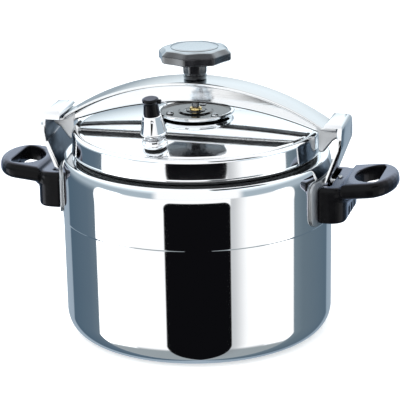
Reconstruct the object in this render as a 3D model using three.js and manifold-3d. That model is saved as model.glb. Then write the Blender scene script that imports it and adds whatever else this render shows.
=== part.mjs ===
// Pressure canner with a clamp-down lid: an aluminium pot with two loop handles and two hook
// brackets, a domed lid on a rubber gasket, and a T-section bow that hooks under the brackets
// and presses the lid down through a screw spindle with a star knob.
// Millimetres, +Z up, origin at the centre of the pot's base. The bow and handles lie along X,
// and the steam regulator is on the -Y side.
import * as THREE from "three";
import { mergeVertices } from "three/addons/utils/BufferGeometryUtils.js";
import Module from "manifold-3d";

const wasm = await Module();
wasm.setup();

// ---------------------------------------------------------------- driving dimensions
const touchGap = 0.3; // left between pieces that touch
const roundSegments = 48; // facets round the large turned pieces
const smallSegments = 16; // facets round fasteners

// pot
const potRadius = 123.2;
const potHeight = 165;
const wallThickness = 3;
const floorThickness = 4;
const baseBandHeight = 20.7; // rounded band above the base
const baseBandInset = 17; // how far the base is set in from the wall
const wallTaper = 0.6; // the wall narrows by this much on its way down
const wallStepHeight = 109.3;
const wallStep = 0.5;
const shoulderHeight = 8.2; // rounding between the wall and the rim
const shoulderInset = 3;
const rimWidth = 20.2; // flat rim, from the wall in to the mouth
const rimThickness = 3;

// lid and gasket
const rimLand = 10.4; // rim left bare outside the lid
const lidThickness = 3;
const lidSkirtHeight = 18.6;
const lidSeat = 3.9; // the lid's skirt stands this far above the rim
const domeRise = 12.5; // centre of the dome above the top of the skirt
const beadWidth = 5.5;
const beadRise = 1.1;
const gasketPlay = 0.4; // on each side of the gasket, and over it
const gasketSocket = 3.3; // the ledge over the gasket, above the skirt's foot
const ledgeThickness = 2.4;
const collarPlay = 1.2; // between the centring collar and the pot's mouth
const collarDepth = 11; // the collar's foot below the ledge

// hook brackets and their saddles
const bracketReach = 15.8; // outer face of the hooks, out from the wall
const bracketPlate = 4;
const bracketWidth = 54;
const bracketFootWidth = 32;
const bracketFootDrop = 49; // below the rim
const bracketFlareDrop = 25; // below the rim, where the plate reaches its full width
const bracketBendDrop = 18; // below the rim, where the plate leaves the wall
const bracketBendRise = 15; // above the rim, where it stands upright again
const lipReach = 17; // how far each lip reaches in from the outer face
const lipThickness = 6.6;
const saddleWidth = 90;
const saddleFootDrop = 53;
const saddleTopDrop = 12;
const saddleThickness = 2.4;
const saddleCentreThickness = 1.4; // where it is flat for the bracket

// handles
const handleReach = 62.5; // out from the wall
const handleWidth = 74;
const handleFootDrop = 51; // below the rim
const handleTopDrop = 17.5;
const handleBlockDepth = 18.6;
const handleCorner = 13;
const flareReach = 7; // slope between the block and the underside of the loop
const flareDrop = 36; // its foot, below the rim
const gripSpacing = 12; // between the three grooves down the block's front
const gripRadius = 4;
const gripDepth = 1.2;
const loopThickness = 14;
const loopTilt = 6; // degrees, the loop rises outwards
const loopRise = 1.5; // top of the loop above the block, carried back to the wall
const loopInset = 13.6; // where the loop starts, out from the block's back
const loopNose = 22.7; // length of the loop's round end
const fingerHoleLength = 24.5;
const fingerHoleWidth = 54;
const fingerHoleNose = 4; // the hole's outer side, which is nearly straight
const fingerHoleCorner = 9;
const loopEndThickness = 14.2;

// bow
const bowTopRise = 33.1; // middle of the bow's plate above the dome
const bowPlateWidth = 34.6;
const bowPlateThickness = 3.2;
const bowWebThickness = 13;
const bowWebFootRise = 11.3; // underside of the web above the dome
const bowLidClearance = 1.3; // over the lid's bead
const tongueTopRise = 31.4; // above the rim
const tongueThickness = 9.5;
const heelFootRise = 6.5; // above the rim
const heelThickness = 4.5;
const heelClearance = 1.8; // from the lid's skirt
const tongueClearance = 1.5; // from the inside of the hook
const lipPlay = 0.5; // between a tongue and its lip
const archQuadratic = 0.905; // share of the arch's fall that is a parabola, the rest a quartic

// the opening motion: the bow swings clockwise and the lid rises with it
const swingDegrees = 70;
const swingLift = 12;

// knob, spindle and pressure foot
const knobRadius = 32.7;
const knobHeight = 11.8;
const knobBevel = 4;
const knobNeckRadius = 10.4;
const knobNeckHeight = 14;
const knobSeat = 3.2; // collar between the bow and the neck
const knobCapRadius = 21;
const knobLobes = 8;
const knobHollow = 1.6; // depth of the hollows between lobes
const spindleRadius = 4;
const bushRadius = 5.3;
const footRadius = 9;
const footHeight = 3.6;
const crossPinRadius = 1.25;

// pressure dish on the lid
const dishRadius = 35;
const dishFloor = 2;
const dishRim = 4.2;
const dishRimWidth = 3;
const dishBossRadius = 14;
const dishBossRise = 1.3;
const dishScrewCircle = 24;
const dishScrewRadius = 1.8;

// steam vent with its weighted regulator
const ventInset = 24.9; // in from the lid's edge
const ventAzimuth = -99.1; // degrees from +X
const ventStemRadius = 4.15;
const ventThreadRadius = 5;
const ventBoreRadius = 1.5;
const ventBaseRadius = 11.2;
const ventBaseHeight = 6.7;
const ventNeckRadius = 6;
const ventNeckHeight = 4.5;
const ventStemHeight = 12;
const washerThickness = 1.2;
const nutHeight = 5;
const weightLowRadius = 11.5;
const weightHighRadius = 9;
const weightHeight = 17.5;
const steamHoleRadius = 1.25;
const capRadius = 7.2;
const capHeight = 15;
const clipReach = 11.5;
const clipThickness = 1.2;
const wireRadius = 0.6;

// over-pressure plug behind the bow
const plugInset = 43;
const plugAzimuth = 69;
const plugBodyRadius = 9;
const plugBodyHeight = 6;
const plugThreadRadius = 6;
const plugCoreRadius = 3;

// fasteners
const rivetRadius = 3;
const rivetHeadRadius = 6;
const rivetHeadHeight = 2.4;
const rivetSpacing = 22;
const rivetDrop = 41; // below the rim
const boltRadius = 2.5;
const boltHeadRadius = 4.5;
const boltHeadHeight = 3.2;
const boltDrop = 22; // below the rim
const lockScrewRadius = 1.4;
const lockScrewHeadRadius = 2.6;
const lockScrewHeadHeight = 1.4;

// ---------------------------------------------------------------- sizes that follow
const degree = Math.PI / 180;
const lidRadius = potRadius - rimLand;
const mouthRadius = potRadius - rimWidth;
const rivetHeight = potHeight - rivetDrop;
const boltHeight = potHeight - boltDrop;
const skirtFoot = potHeight + lidSeat;
const skirtTop = skirtFoot + lidSkirtHeight;
const domeTop = skirtTop + domeRise;
const skirtInner = lidRadius - lidThickness;
const gasketLedge = skirtFoot + gasketSocket;
const collarRadius = mouthRadius - collarPlay;
const beadInner = lidRadius - beadWidth;
const domeCurve = (domeTop - skirtTop - beadRise) / beadInner ** 2;
const bowTop = domeTop + bowTopRise;
const bowWebFoot = domeTop + bowWebFootRise;
const tongueTop = potHeight + tongueTopRise;
const heelFoot = potHeight + heelFootRise;
const bracketTop = tongueTop + lipThickness;
const bracketFoot = potHeight - bracketFootDrop;
const bracketFlare = potHeight - bracketFlareDrop;
const bracketBendLow = potHeight - bracketBendDrop;
const bracketBendHigh = potHeight + bracketBendRise;
const saddleFoot = potHeight - saddleFootDrop;
const saddleTop = potHeight - saddleTopDrop;
const handleFoot = potHeight - handleFootDrop;
const handleTop = potHeight - handleTopDrop;
const hookOuter = potRadius + bracketReach;
const hookInner = hookOuter - bracketPlate;
const lipInner = hookOuter - lipReach;
const tongueRadius = hookInner - tongueClearance;
const tongueStart = lipInner - 0.6;
const saddleFace = potRadius + saddleCentreThickness;
const saddleRadius = potRadius + saddleThickness;
const bracketBack = saddleFace + touchGap;
const bracketFront = bracketBack + bracketPlate;
const handleBack = saddleFace + touchGap;
const handleEnd = potRadius + handleReach;
const handleBlockFront = handleBack + handleBlockDepth;
const fingerHoleEnd = handleEnd - loopEndThickness;
const fingerHoleStart = fingerHoleEnd - fingerHoleLength;
const liftPerRadian = swingLift / (swingDegrees * degree);
const rampSlope = liftPerRadian / tongueStart; // lips and tongues follow the rising path
const dishBase = domeTop + touchGap;
const dishSeat = dishBase + dishFloor;
const footBase = dishSeat + touchGap;
const knobBase = bowTop + touchGap;
const knobUnderside = knobBase + knobSeat + knobNeckHeight;
const knobTop = knobUnderside + knobHeight;
const spindleTop = knobUnderside + knobHeight - knobBevel - 2;
const crossPinHeight = knobBase + knobSeat + knobNeckHeight / 2;

// ---------------------------------------------------------------- materials
const finish = (color, roughness, metalness) => ({ color, roughness, metalness });
const polishedAluminium = finish(0xd8dcdf, 0.12, 1);
const castAluminium = finish(0xc4c8cc, 0.3, 1);
const blackBakelite = finish(0x111216, 0.32, 0);
const blackRubber = finish(0x0c0c0d, 0.75, 0);
const chrome = finish(0xe6e8ea, 0.06, 1);
const steel = finish(0xa9acb0, 0.28, 1);
const brass = finish(0xb58f3e, 0.3, 1);

// ---------------------------------------------------------------- making solids
const point = (x, y) => new THREE.Vector2(x, y);

// A solid for cutting and joining, from a closed geometry.
function solid(geometry) {
  const bare = geometry.index ? geometry.toNonIndexed() : geometry.clone();
  bare.deleteAttribute("normal");
  bare.deleteAttribute("uv");
  const merged = mergeVertices(bare, 1e-4);
  const corners = merged.index.array;
  const kept = [];
  for (let i = 0; i < corners.length; i += 3) {
    const [a, b, c] = [corners[i], corners[i + 1], corners[i + 2]];
    if (a !== b && b !== c && c !== a) kept.push(a, b, c);
  }
  return new wasm.Manifold(
    new wasm.Mesh({
      numProp: 3,
      vertProperties: merged.attributes.position.array,
      triVerts: new Uint32Array(kept),
    }),
  );
}

function geometryOf(body) {
  const mesh = body.getMesh();
  const geometry = new THREE.BufferGeometry();
  geometry.setAttribute("position", new THREE.BufferAttribute(mesh.vertProperties, 3));
  geometry.setIndex(new THREE.BufferAttribute(mesh.triVerts, 1));
  const flat = geometry.toNonIndexed();
  flat.computeVertexNormals();
  return flat;
}

// Turned piece: an outline of (radius, height) points, anticlockwise as seen with the axis on the left.
function turned(outline, segments = roundSegments) {
  return solid(new THREE.LatheGeometry(outline, segments).rotateX(Math.PI / 2));
}

function turnedRing(outline, segments = roundSegments) {
  return turned([...outline, outline[0]], segments);
}

// Upright round bar or hole between two heights, tapered if the radii differ.
function bar(lowRadius, low, high, highRadius = lowRadius, segments = smallSegments) {
  const height = high - low;
  const shape = new THREE.CylinderGeometry(highRadius, lowRadius, height, segments);
  return solid(shape.rotateX(Math.PI / 2).translate(0, 0, low + height / 2));
}

// The same bar lying along X.
function barAlongX(radius, near, far, y, z, segments = smallSegments) {
  const length = far - near;
  const shape = new THREE.CylinderGeometry(radius, radius, length, segments);
  return solid(shape.rotateZ(Math.PI / 2).translate(near + length / 2, y, z));
}

function block(x0, x1, y0, y1, z0, z1) {
  const shape = new THREE.BoxGeometry(x1 - x0, y1 - y0, z1 - z0);
  return solid(shape.translate((x0 + x1) / 2, (y0 + y1) / 2, (z0 + z1) / 2));
}

// An outline of (x, z) points, made into a plate of the given width across Y.
function plateAcrossY(outline, width) {
  const shape = new THREE.ExtrudeGeometry(new THREE.Shape(outline), {
    depth: width,
    bevelEnabled: false,
  });
  return solid(shape.rotateX(Math.PI / 2).translate(0, width / 2, 0));
}

// An outline of (y, z) points, made into a plate between two places along X.
function plateAcrossX(outline, near, far) {
  const shape = new THREE.ExtrudeGeometry(new THREE.Shape(outline), {
    depth: far - near,
    bevelEnabled: false,
  });
  return solid(shape.rotateX(Math.PI / 2).rotateZ(Math.PI / 2).translate(near, 0, 0));
}

// A flat outline, made into a plate with bevelled edges between two heights.
function bevelledPlate(shape, low, high, bevel, curveSegments, bevelSegments = 2) {
  const plate = new THREE.ExtrudeGeometry(shape, {
    depth: high - low - 2 * bevel,
    bevelThickness: bevel,
    bevelSize: bevel,
    bevelOffset: -bevel,
    bevelSegments,
    curveSegments,
  });
  return solid(plate.translate(0, 0, low + bevel));
}

// Points of an arc from one angle to another, in degrees.
function arc(x, y, radiusX, radiusY, from, to, steps) {
  return Array.from({ length: steps + 1 }, (_, i) => {
    const angle = (from + ((to - from) * i) / steps) * degree;
    return point(x + radiusX * Math.cos(angle), y + radiusY * Math.sin(angle));
  });
}

function hexagon(radius, low, high) {
  return bar(radius, low, high, radius, 6);
}

function addPiece(group, name, body, look) {
  const mesh = new THREE.Mesh(geometryOf(body), new THREE.MeshStandardMaterial(look));
  mesh.name = name;
  group.add(mesh);
}

// ---------------------------------------------------------------- pot
const domeHeight = (radius) => domeTop - domeCurve * radius ** 2;

function potBody() {
  const lowRadius = potRadius - wallStep - wallTaper;
  const bandRadius = lowRadius - 0.4;
  const inner = potRadius - wallStep - wallThickness;
  const innerLow = inner - wallTaper;
  const cornerRadius = baseBandHeight - floorThickness;
  const cornerWidth = baseBandInset - 2;
  const outline = [
    point(0, 0),
    ...arc(bandRadius - baseBandInset, baseBandHeight, baseBandInset, baseBandHeight, -90, 0, 6),
    point(lowRadius, baseBandHeight + 0.5),
    point(potRadius - wallStep, wallStepHeight),
    point(potRadius, wallStepHeight + 0.8),
    ...arc(
      potRadius - shoulderInset, potHeight - shoulderHeight, shoulderInset, shoulderHeight, 0, 90, 4,
    ),
    point(mouthRadius, potHeight),
    point(mouthRadius, potHeight - rimThickness),
    point(inner - shoulderInset, potHeight - rimThickness),
    point(inner, potHeight - shoulderHeight),
    ...arc(innerLow - cornerWidth, floorThickness + cornerRadius, cornerWidth, cornerRadius, 0, -90, 4),
    point(0, floorThickness),
  ];
  return turned(outline).subtract(rivetHoles());
}

function rivetPlaces() {
  return [
    { name: "front", y: -rivetSpacing / 2 },
    { name: "back", y: rivetSpacing / 2 },
  ];
}

// Rivet holes on both sides of the pot.
function rivetHoles() {
  const holes = rivetPlaces().map(({ y }) =>
    barAlongX(rivetRadius + touchGap, -hookOuter, hookOuter, y, rivetHeight),
  );
  return holes[0].add(holes[1]);
}

// ---------------------------------------------------------------- saddles, brackets, handles (on +X)
// Cast saddle: bent round the wall, flat in the middle for the bracket.
function saddle() {
  const half = saddleWidth / 2;
  const corner = 9;
  const outline = [
    ...arc(corner - half, saddleFoot + corner, corner, corner, 180, 270, 4),
    ...arc(half - corner, saddleFoot + corner, corner, corner, -90, 0, 4),
    ...arc(half - corner, saddleTop - corner, corner, corner, 0, 90, 4),
    ...arc(corner - half, saddleTop - corner, corner, corner, 90, 180, 4),
  ];
  const wall = bar(potRadius + touchGap, 0, potHeight + 10, potRadius + touchGap, 2 * roundSegments);
  const outside = bar(saddleRadius, 0, potHeight, saddleRadius, 2 * roundSegments);
  return plateAcrossX(outline, potRadius - baseBandInset, saddleFace)
    .intersect(outside)
    .subtract(wall)
    .subtract(rivetHoles());
}

// The space on one side of the ramp between a lip and its tongue, on the +X side.
function rampSpace(height, above) {
  const depth = bowTop - tongueTop;
  const wedge = new THREE.BoxGeometry(hookOuter, 2 * hookOuter, depth);
  wedge.translate(hookOuter, 0, above ? depth / 2 : -depth / 2);
  wedge.rotateX(-Math.atan(rampSlope));
  return solid(wedge.translate(0, 0, height));
}

function bracket() {
  const roundness = 4;
  const side = [
    point(bracketBack, bracketFoot),
    point(bracketFront, bracketFoot),
    point(bracketFront, bracketBendLow),
    point(hookOuter, bracketBendHigh),
    ...arc(hookOuter - roundness, bracketTop - roundness, roundness, roundness, 0, 90, 3),
    ...arc(lipInner + roundness, bracketTop - roundness, roundness, roundness, 90, 180, 3),
    point(lipInner, tongueTop - 6),
    point(hookInner, tongueTop - 6),
    point(hookInner, bracketBendHigh),
    point(bracketBack, bracketBendLow),
  ];
  const half = bracketWidth / 2;
  const footHalf = bracketFootWidth / 2;
  const corner = 5;
  const front = [
    point(-footHalf, bracketFoot),
    point(footHalf, bracketFoot),
    point(half, bracketFlare),
    ...arc(half - corner, bracketTop - corner, corner, corner, 0, 90, 3),
    ...arc(corner - half, bracketTop - corner, corner, corner, 90, 180, 3),
    point(-half, bracketFlare),
  ];
  const underLip = rampSpace(tongueTop + lipPlay, false).intersect(
    block(0, hookInner, -bracketWidth, bracketWidth, tongueTop - 8, bracketTop),
  );
  return plateAcrossY(side, bracketWidth)
    .intersect(plateAcrossX(front, bracketBack - 10, hookOuter + 1))
    .subtract(underLip)
    .subtract(rivetHoles())
    .subtract(barAlongX(boltRadius + touchGap, bracketBack - 1, bracketFront + 1, 0, boltHeight));
}

function rivet(y) {
  const wallInside = potRadius - wallStep - wallTaper - wallThickness;
  const headEdge = Math.abs(y) + rivetHeadRadius;
  const headBase = Math.sqrt(wallInside ** 2 - headEdge ** 2) - 2 * touchGap;
  const outerBase = bracketFront + touchGap;
  const dome = new THREE.LatheGeometry(
    [...arc(0, 0, rivetHeadRadius, rivetHeadHeight, 0, 90, 3), point(0, 0), point(rivetHeadRadius, 0)],
    smallSegments,
  );
  const domeAt = (x, turn) => solid(dome.clone().rotateZ(turn).translate(x, y, rivetHeight));
  return barAlongX(rivetRadius, headBase - 0.5, outerBase + 0.5, y, rivetHeight)
    .add(domeAt(headBase, Math.PI / 2))
    .add(domeAt(outerBase, -Math.PI / 2));
}

// Moulded block that wraps the saddle, with three grooves down its front and a finger loop.
function handle() {
  const block = bevelledPlate(
    blockOutline(handleBlockFront, handleCorner), handleFoot, handleTop, 3, 4,
  );
  const flareOutline = blockOutline(handleBlockFront + flareReach, handleCorner + flareReach);
  const flare = bevelledPlate(flareOutline, potHeight - flareDrop, handleTop, flareReach, 4, 1);
  const saddleSpace = bar(
    saddleRadius + touchGap, 0, 2 * potHeight, saddleRadius + touchGap, 2 * roundSegments,
  );
  const lockScrewHole = bar(lockScrewRadius + touchGap, boltHeight, handleTop + 4);
  let moulding = block.add(flare).add(loop()).subtract(fingerHole()).subtract(saddleSpace);
  for (const y of [-gripSpacing, 0, gripSpacing]) {
    const groove = bar(gripRadius, handleFoot - 1, boltHeight - 18);
    moulding = moulding.subtract(groove.translate(handleBlockFront + gripRadius - gripDepth, y, 0));
  }
  return moulding
    .subtract(bracketPocket())
    .subtract(barAlongX(boltRadius + touchGap, handleBack - 1, handleEnd, 0, boltHeight))
    .subtract(barAlongX(boltHeadRadius + touchGap, boltHeadSeat(), fingerHoleEnd - 20, 0, boltHeight))
    .subtract(lockScrewHole.translate(lockScrewPlace(), 0, 0));
}

// Plan of the block, with rounded outer corners.
function blockOutline(front, corner) {
  const half = handleWidth / 2;
  const back = handleBack - 20;
  return new THREE.Shape([
    point(back, -half),
    ...arc(front - corner, corner - half, corner, corner, -90, 0, 5),
    ...arc(front - corner, half - corner, corner, corner, 0, 90, 5),
    point(back, half),
  ]);
}

// The loop rises outwards from the block.
function loop() {
  const half = handleWidth / 2 - 0.5;
  const outline = new THREE.Shape([
    point(handleBack + loopInset, -half),
    ...arc(handleEnd - loopNose, 0, loopNose, half, -90, 90, 14),
    point(handleBack + loopInset, half),
  ]);
  const plate = bevelledPlate(outline, -loopThickness, 0, 5, 12, 3);
  const tilted = plate.translate(-handleBack, 0, 0).rotate(0, -loopTilt, 0);
  return tilted.translate(handleBack, 0, handleTop + loopRise);
}

// Half an ellipse towards the pot, nearly straight on its outer side.
function fingerHole() {
  const half = fingerHoleWidth / 2;
  const middle = fingerHoleEnd - fingerHoleNose;
  const corner = half - fingerHoleCorner;
  const outline = new THREE.Shape([
    ...arc(middle, 0, fingerHoleLength - fingerHoleNose, half, 90, 270, 14),
    ...arc(middle, -corner, fingerHoleNose, fingerHoleCorner, -90, 0, 4),
    ...arc(middle, corner, fingerHoleNose, fingerHoleCorner, 0, 90, 4).slice(0, -1),
  ]);
  const hole = new THREE.ExtrudeGeometry(outline, { depth: potHeight, bevelEnabled: false });
  return solid(hole.translate(0, 0, potHeight / 2));
}

// Room in the block's back for the bracket plate and the rivet heads.
function bracketPocket() {
  const half = bracketWidth / 2 + 2 * touchGap;
  const footHalf = bracketFootWidth / 2 + 2 * touchGap;
  const top = handleTop + 8;
  const slopeRun = (hookOuter - bracketFront) / (bracketBendHigh - bracketBendLow);
  const side = plateAcrossY([
    point(handleBack - 15, bracketFoot - touchGap),
    point(bracketFront + touchGap, bracketFoot - touchGap),
    point(bracketFront + touchGap, bracketBendLow - 1),
    point(bracketFront + 2 * touchGap, bracketBendLow),
    point(bracketFront + 2 * touchGap + slopeRun * (top - bracketBendLow), top),
    point(handleBack - 15, top),
  ], 2 * half + 2);
  const front = plateAcrossX([
    point(-footHalf, bracketFoot - 1),
    point(footHalf, bracketFoot - 1),
    point(half, bracketFlare),
    point(half, top + 1),
    point(-half, top + 1),
    point(-half, bracketFlare),
  ], handleBack - 16, handleBack + 20);
  const heads = block(
    handleBack,
    bracketFront + rivetHeadHeight + 1.2,
    -rivetSpacing / 2 - rivetHeadRadius - 1,
    rivetSpacing / 2 + rivetHeadRadius + 1,
    rivetHeight - rivetHeadRadius - 1,
    rivetHeight + rivetHeadRadius + 1,
  );
  return side.intersect(front).add(heads);
}

const boltHeadSeat = () => fingerHoleStart - 4;
const lockScrewPlace = () => bracketFront + 4.1;

function handleBolt() {
  const seat = boltHeadSeat() + touchGap;
  return barAlongX(boltRadius, bracketBack, seat + 0.5, 0, boltHeight).add(
    barAlongX(boltHeadRadius, seat, seat + boltHeadHeight, 0, boltHeight),
  );
}

// Small screw on top of the handle that locks the bolt.
function lockScrew() {
  const seat = handleTop + touchGap;
  return bar(lockScrewRadius, boltHeight + boltRadius + touchGap, seat + 0.5)
    .add(bar(lockScrewHeadRadius, seat, seat + lockScrewHeadHeight, lockScrewHeadRadius * 0.75))
    .translate(lockScrewPlace(), 0, 0);
}

// ---------------------------------------------------------------- lid
function lidShell() {
  const collarInner = collarRadius - lidThickness;
  const steps = 9;
  const dome = (from, to, drop) =>
    Array.from({ length: steps + 1 }, (_, i) => {
      const radius = from + ((to - from) * i) / steps;
      return point(radius, domeHeight(radius) - drop);
    });
  const outline = [
    ...dome(0, skirtInner, lidThickness),
    point(skirtInner, gasketLedge + ledgeThickness),
    point(collarInner, gasketLedge + ledgeThickness),
    point(collarInner, gasketLedge - collarDepth),
    point(collarRadius, gasketLedge - collarDepth),
    point(collarRadius, gasketLedge),
    point(skirtInner + touchGap, gasketLedge),
    point(skirtInner + touchGap, skirtFoot),
    point(lidRadius + 0.4, skirtFoot),
    point(lidRadius + 0.4, skirtFoot + 0.8),
    point(lidRadius, skirtFoot + 1.4),
    ...arc(lidRadius - 2.6, skirtTop - 1.5, 2.6, beadRise + 1.5, 0, 90, 4),
    point(beadInner, skirtTop + beadRise),
    ...dome(beadInner, 0, 0).slice(1),
  ];
  const radius = lidRadius - ventInset;
  const plugRadius = lidRadius - plugInset;
  const ventHole = placedOnDome(bar(ventThreadRadius + touchGap, -20, 20), radius, ventAzimuth);
  const plugHole = placedOnDome(bar(plugThreadRadius + touchGap, -20, 20), plugRadius, plugAzimuth);
  let shell = turned(outline).subtract(ventHole).subtract(plugHole);
  for (const place of dishScrewPlaces()) {
    shell = shell.subtract(
      bar(dishScrewRadius + touchGap, domeTop - 20, domeTop + 5).translate(place.x, place.y, 0),
    );
  }
  return shell;
}

// Square to the dome, at a radius and an azimuth.
function domeFrame(radius, azimuth) {
  const group = new THREE.Group();
  const tilt = Math.atan(2 * domeCurve * radius);
  group.position.set(
    radius * Math.cos(azimuth * degree), radius * Math.sin(azimuth * degree), domeHeight(radius),
  );
  group.rotation.set(0, tilt, azimuth * degree, "ZYX");
  return group;
}

function placedOnDome(body, radius, azimuth) {
  const frame = domeFrame(radius, azimuth);
  frame.updateMatrix();
  return solid(geometryOf(body).applyMatrix4(frame.matrix));
}

function gasket() {
  const outer = skirtInner + touchGap - gasketPlay;
  const inner = collarRadius + gasketPlay;
  return turnedRing([
    point(outer, potHeight + touchGap),
    point(outer, gasketLedge - touchGap),
    point(inner, gasketLedge - touchGap),
    point(inner, potHeight + touchGap),
  ]);
}

function dishScrewPlaces() {
  return [90, 210, 330].map((angle) => ({
    x: dishScrewCircle * Math.cos(angle * degree),
    y: dishScrewCircle * Math.sin(angle * degree),
  }));
}

function pressureDish() {
  const socket = footRadius + 1;
  let dish = turned([
    point(0, dishBase),
    point(dishRadius - 2, dishBase),
    point(dishRadius, dishBase + 2),
    point(dishRadius, dishBase + dishRim - 0.8),
    point(dishRadius - 0.8, dishBase + dishRim),
    point(dishRadius - dishRimWidth, dishBase + dishRim),
    point(dishRadius - dishRimWidth - 1.2, dishSeat),
    point(dishBossRadius + 1, dishSeat),
    point(dishBossRadius, dishSeat + dishBossRise),
    point(socket, dishSeat + dishBossRise),
    point(socket, dishSeat),
    point(0, dishSeat),
  ], 32);
  for (const place of dishScrewPlaces()) {
    dish = dish.subtract(
      bar(dishScrewRadius + touchGap, dishBase - 1, dishBase + 5).translate(place.x, place.y, 0),
    );
  }
  return dish;
}

function dishScrew(place) {
  const seat = dishSeat + touchGap;
  const underLid = domeHeight(dishScrewCircle) - lidThickness - 3;
  return bar(dishScrewRadius, underLid, seat + 0.4)
    .add(bar(dishScrewRadius * 2, seat, seat + 1.5, dishScrewRadius * 1.6))
    .translate(place.x, place.y, 0);
}

// ---------------------------------------------------------------- vent and regulator, on the dome's frame
const ventBase = 2 * touchGap + washerThickness;
const ventShoulder = ventBase + ventBaseHeight;
const ventNeckTop = ventShoulder + ventNeckHeight;
const weightBase = ventNeckTop + touchGap;
const weightTop = weightBase + weightHeight;

function washer(outer, inner) {
  return bar(outer, touchGap, touchGap + washerThickness, outer, 24).subtract(bar(inner, -1, 4));
}

function nut(radius, inner) {
  const top = -lidThickness - touchGap;
  return hexagon(radius, top - nutHeight, top).subtract(bar(inner, -20, 0));
}

function ventPipe() {
  return hexagon(ventBaseRadius, ventBase, ventShoulder)
    .add(bar(ventNeckRadius, ventShoulder - 0.5, ventNeckTop))
    .add(bar(ventStemRadius, ventNeckTop - 0.5, ventNeckTop + ventStemHeight))
    .add(bar(ventThreadRadius, -lidThickness - nutHeight - 3, ventBase + 0.5))
    .subtract(bar(ventBoreRadius, -20, 60, ventBoreRadius, 10));
}

function regulatorWeight() {
  const socket = bar(ventStemRadius + touchGap, weightBase - 1, weightBase + ventStemHeight + 1);
  const holeHeight = weightBase + ventStemHeight - 0.4;
  let weight = bar(weightLowRadius, weightBase, weightTop, weightHighRadius, 24).subtract(socket);
  for (const turn of [0, 90]) {
    const hole = barAlongX(steamHoleRadius, -20, 20, 0, holeHeight, 8);
    weight = weight.subtract(hole.rotate(0, 0, turn));
  }
  return weight;
}

function regulatorCap() {
  const base = weightTop + touchGap;
  const top = base + capHeight;
  const knobHole = wireRadius + touchGap;
  return turned([
    point(0, base),
    point(capRadius, base),
    point(capRadius * 0.9, top - 3),
    point(capRadius, top - 2.6),
    point(capRadius - 0.6, top - 0.6),
    point(0, top),
  ], 24)
    .add(barAlongX(1.9, capRadius * 0.5, capRadius + 2.4, 0, top - 3, 10))
    .subtract(barAlongX(knobHole, capRadius - 1, capRadius + 4, 0, top - 3, 8));
}

// Bent wire in the cap's side boss, for lifting the regulator off.
function liftingWire() {
  const z = weightTop + touchGap + capHeight - 3;
  const path = new THREE.CatmullRomCurve3([
    new THREE.Vector3(capRadius - 0.4, 0, z),
    new THREE.Vector3(capRadius + 3, 0, z),
    new THREE.Vector3(capRadius + 6, 0, z - 0.6),
    new THREE.Vector3(capRadius + 7.2, 0, z - 3),
    new THREE.Vector3(capRadius + 4.4, 0, z - 4.6),
  ]);
  const section = new THREE.Shape(arc(0, 0, wireRadius, wireRadius, 0, 315, 7));
  return solid(new THREE.ExtrudeGeometry(section, { steps: 12, extrudePath: path }));
}

// Crossed spring strips that grip the vent's neck.
function springClip() {
  const low = ventShoulder + touchGap;
  const strip = block(-clipReach, clipReach, -2, 2, low, low + clipThickness);
  return strip
    .rotate(0, 0, 45)
    .add(strip.rotate(0, 0, -45))
    .add(bar(ventNeckRadius + 2.4, low, low + clipThickness, ventNeckRadius + 2.4, 24))
    .subtract(bar(ventNeckRadius + touchGap, low - 1, low + 3));
}

// ---------------------------------------------------------------- over-pressure plug
function plugBody() {
  return hexagon(plugBodyRadius + 1.2, ventBase, ventBase + plugBodyHeight)
    .add(bar(plugThreadRadius, -lidThickness - nutHeight - 3, ventBase + 0.5))
    .subtract(bar(plugCoreRadius + touchGap, -20, 20));
}

function plugCore() {
  const top = ventBase + plugBodyHeight;
  return bar(plugCoreRadius, -lidThickness - nutHeight, top + 1.2)
    .add(bar(plugCoreRadius + 1.8, top + touchGap, top + 2, plugCoreRadius + 1));
}

// ---------------------------------------------------------------- bow
// Fall of the arch at a distance from the middle, as a share of its whole fall.
function archFall(share) {
  return archQuadratic * share ** 2 + (1 - archQuadratic) * share ** 4;
}

function archTopAt(s) {
  return bowTop - (bowTop - tongueTop) * archFall(Math.min(Math.abs(s) / tongueStart, 1));
}

function samples(from, to, steps) {
  return Array.from({ length: steps + 1 }, (_, i) => from + ((to - from) * i) / steps);
}

function bow() {
  const top = samples(-tongueStart, tongueStart, 28);
  const raised = [
    point(-tongueRadius - 2, tongueTop),
    ...top.map((s) => point(s, archTopAt(s))),
    point(tongueRadius + 2, tongueTop),
  ];
  const lowered = raised.map((p) => point(p.x, p.y - bowPlateThickness)).reverse();
  const plate = plateAcrossY([...lowered, ...raised], bowPlateWidth);
  const sunk = raised.map((p) => point(p.x, p.y - 1)).reverse();
  const webEnd = skirtTop + beadRise + bowLidClearance;
  const heelInner = lidRadius + heelClearance;
  const under = samples(-lidRadius, lidRadius, 20).map((s) =>
    point(s, bowWebFoot - (bowWebFoot - webEnd) * (s / lidRadius) ** 2),
  );
  const heel = [
    point(heelInner, webEnd),
    point(heelInner, heelFoot),
    point(heelInner + heelThickness, heelFoot),
    point(tongueRadius - 6, tongueTop - tongueThickness - 4),
    point(tongueRadius + 2, tongueTop - tongueThickness),
  ];
  const otherHeel = heel.map((p) => point(-p.x, p.y)).reverse();
  const web = plateAcrossY([...otherHeel, ...under, ...heel, ...sunk], bowWebThickness);
  const rampRing = ring(tongueStart + 0.1, hookOuter + 10, tongueTop - 10, bowTop);
  const overTongue = rampSpace(tongueTop, true).intersect(rampRing);
  const tongueRaise = rampedTongue();
  return plate
    .add(web)
    .add(tongueRaise)
    .add(tongueRaise.rotate(0, 0, 180))
    .subtract(overTongue)
    .subtract(overTongue.rotate(0, 0, 180))
    .intersect(bar(tongueRadius, 0, 2 * bowTop, tongueRadius, 2 * roundSegments))
    .subtract(bar(bushRadius + touchGap, bowWebFoot - 5, bowTop + 5, bushRadius + touchGap, 20));
}

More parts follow.
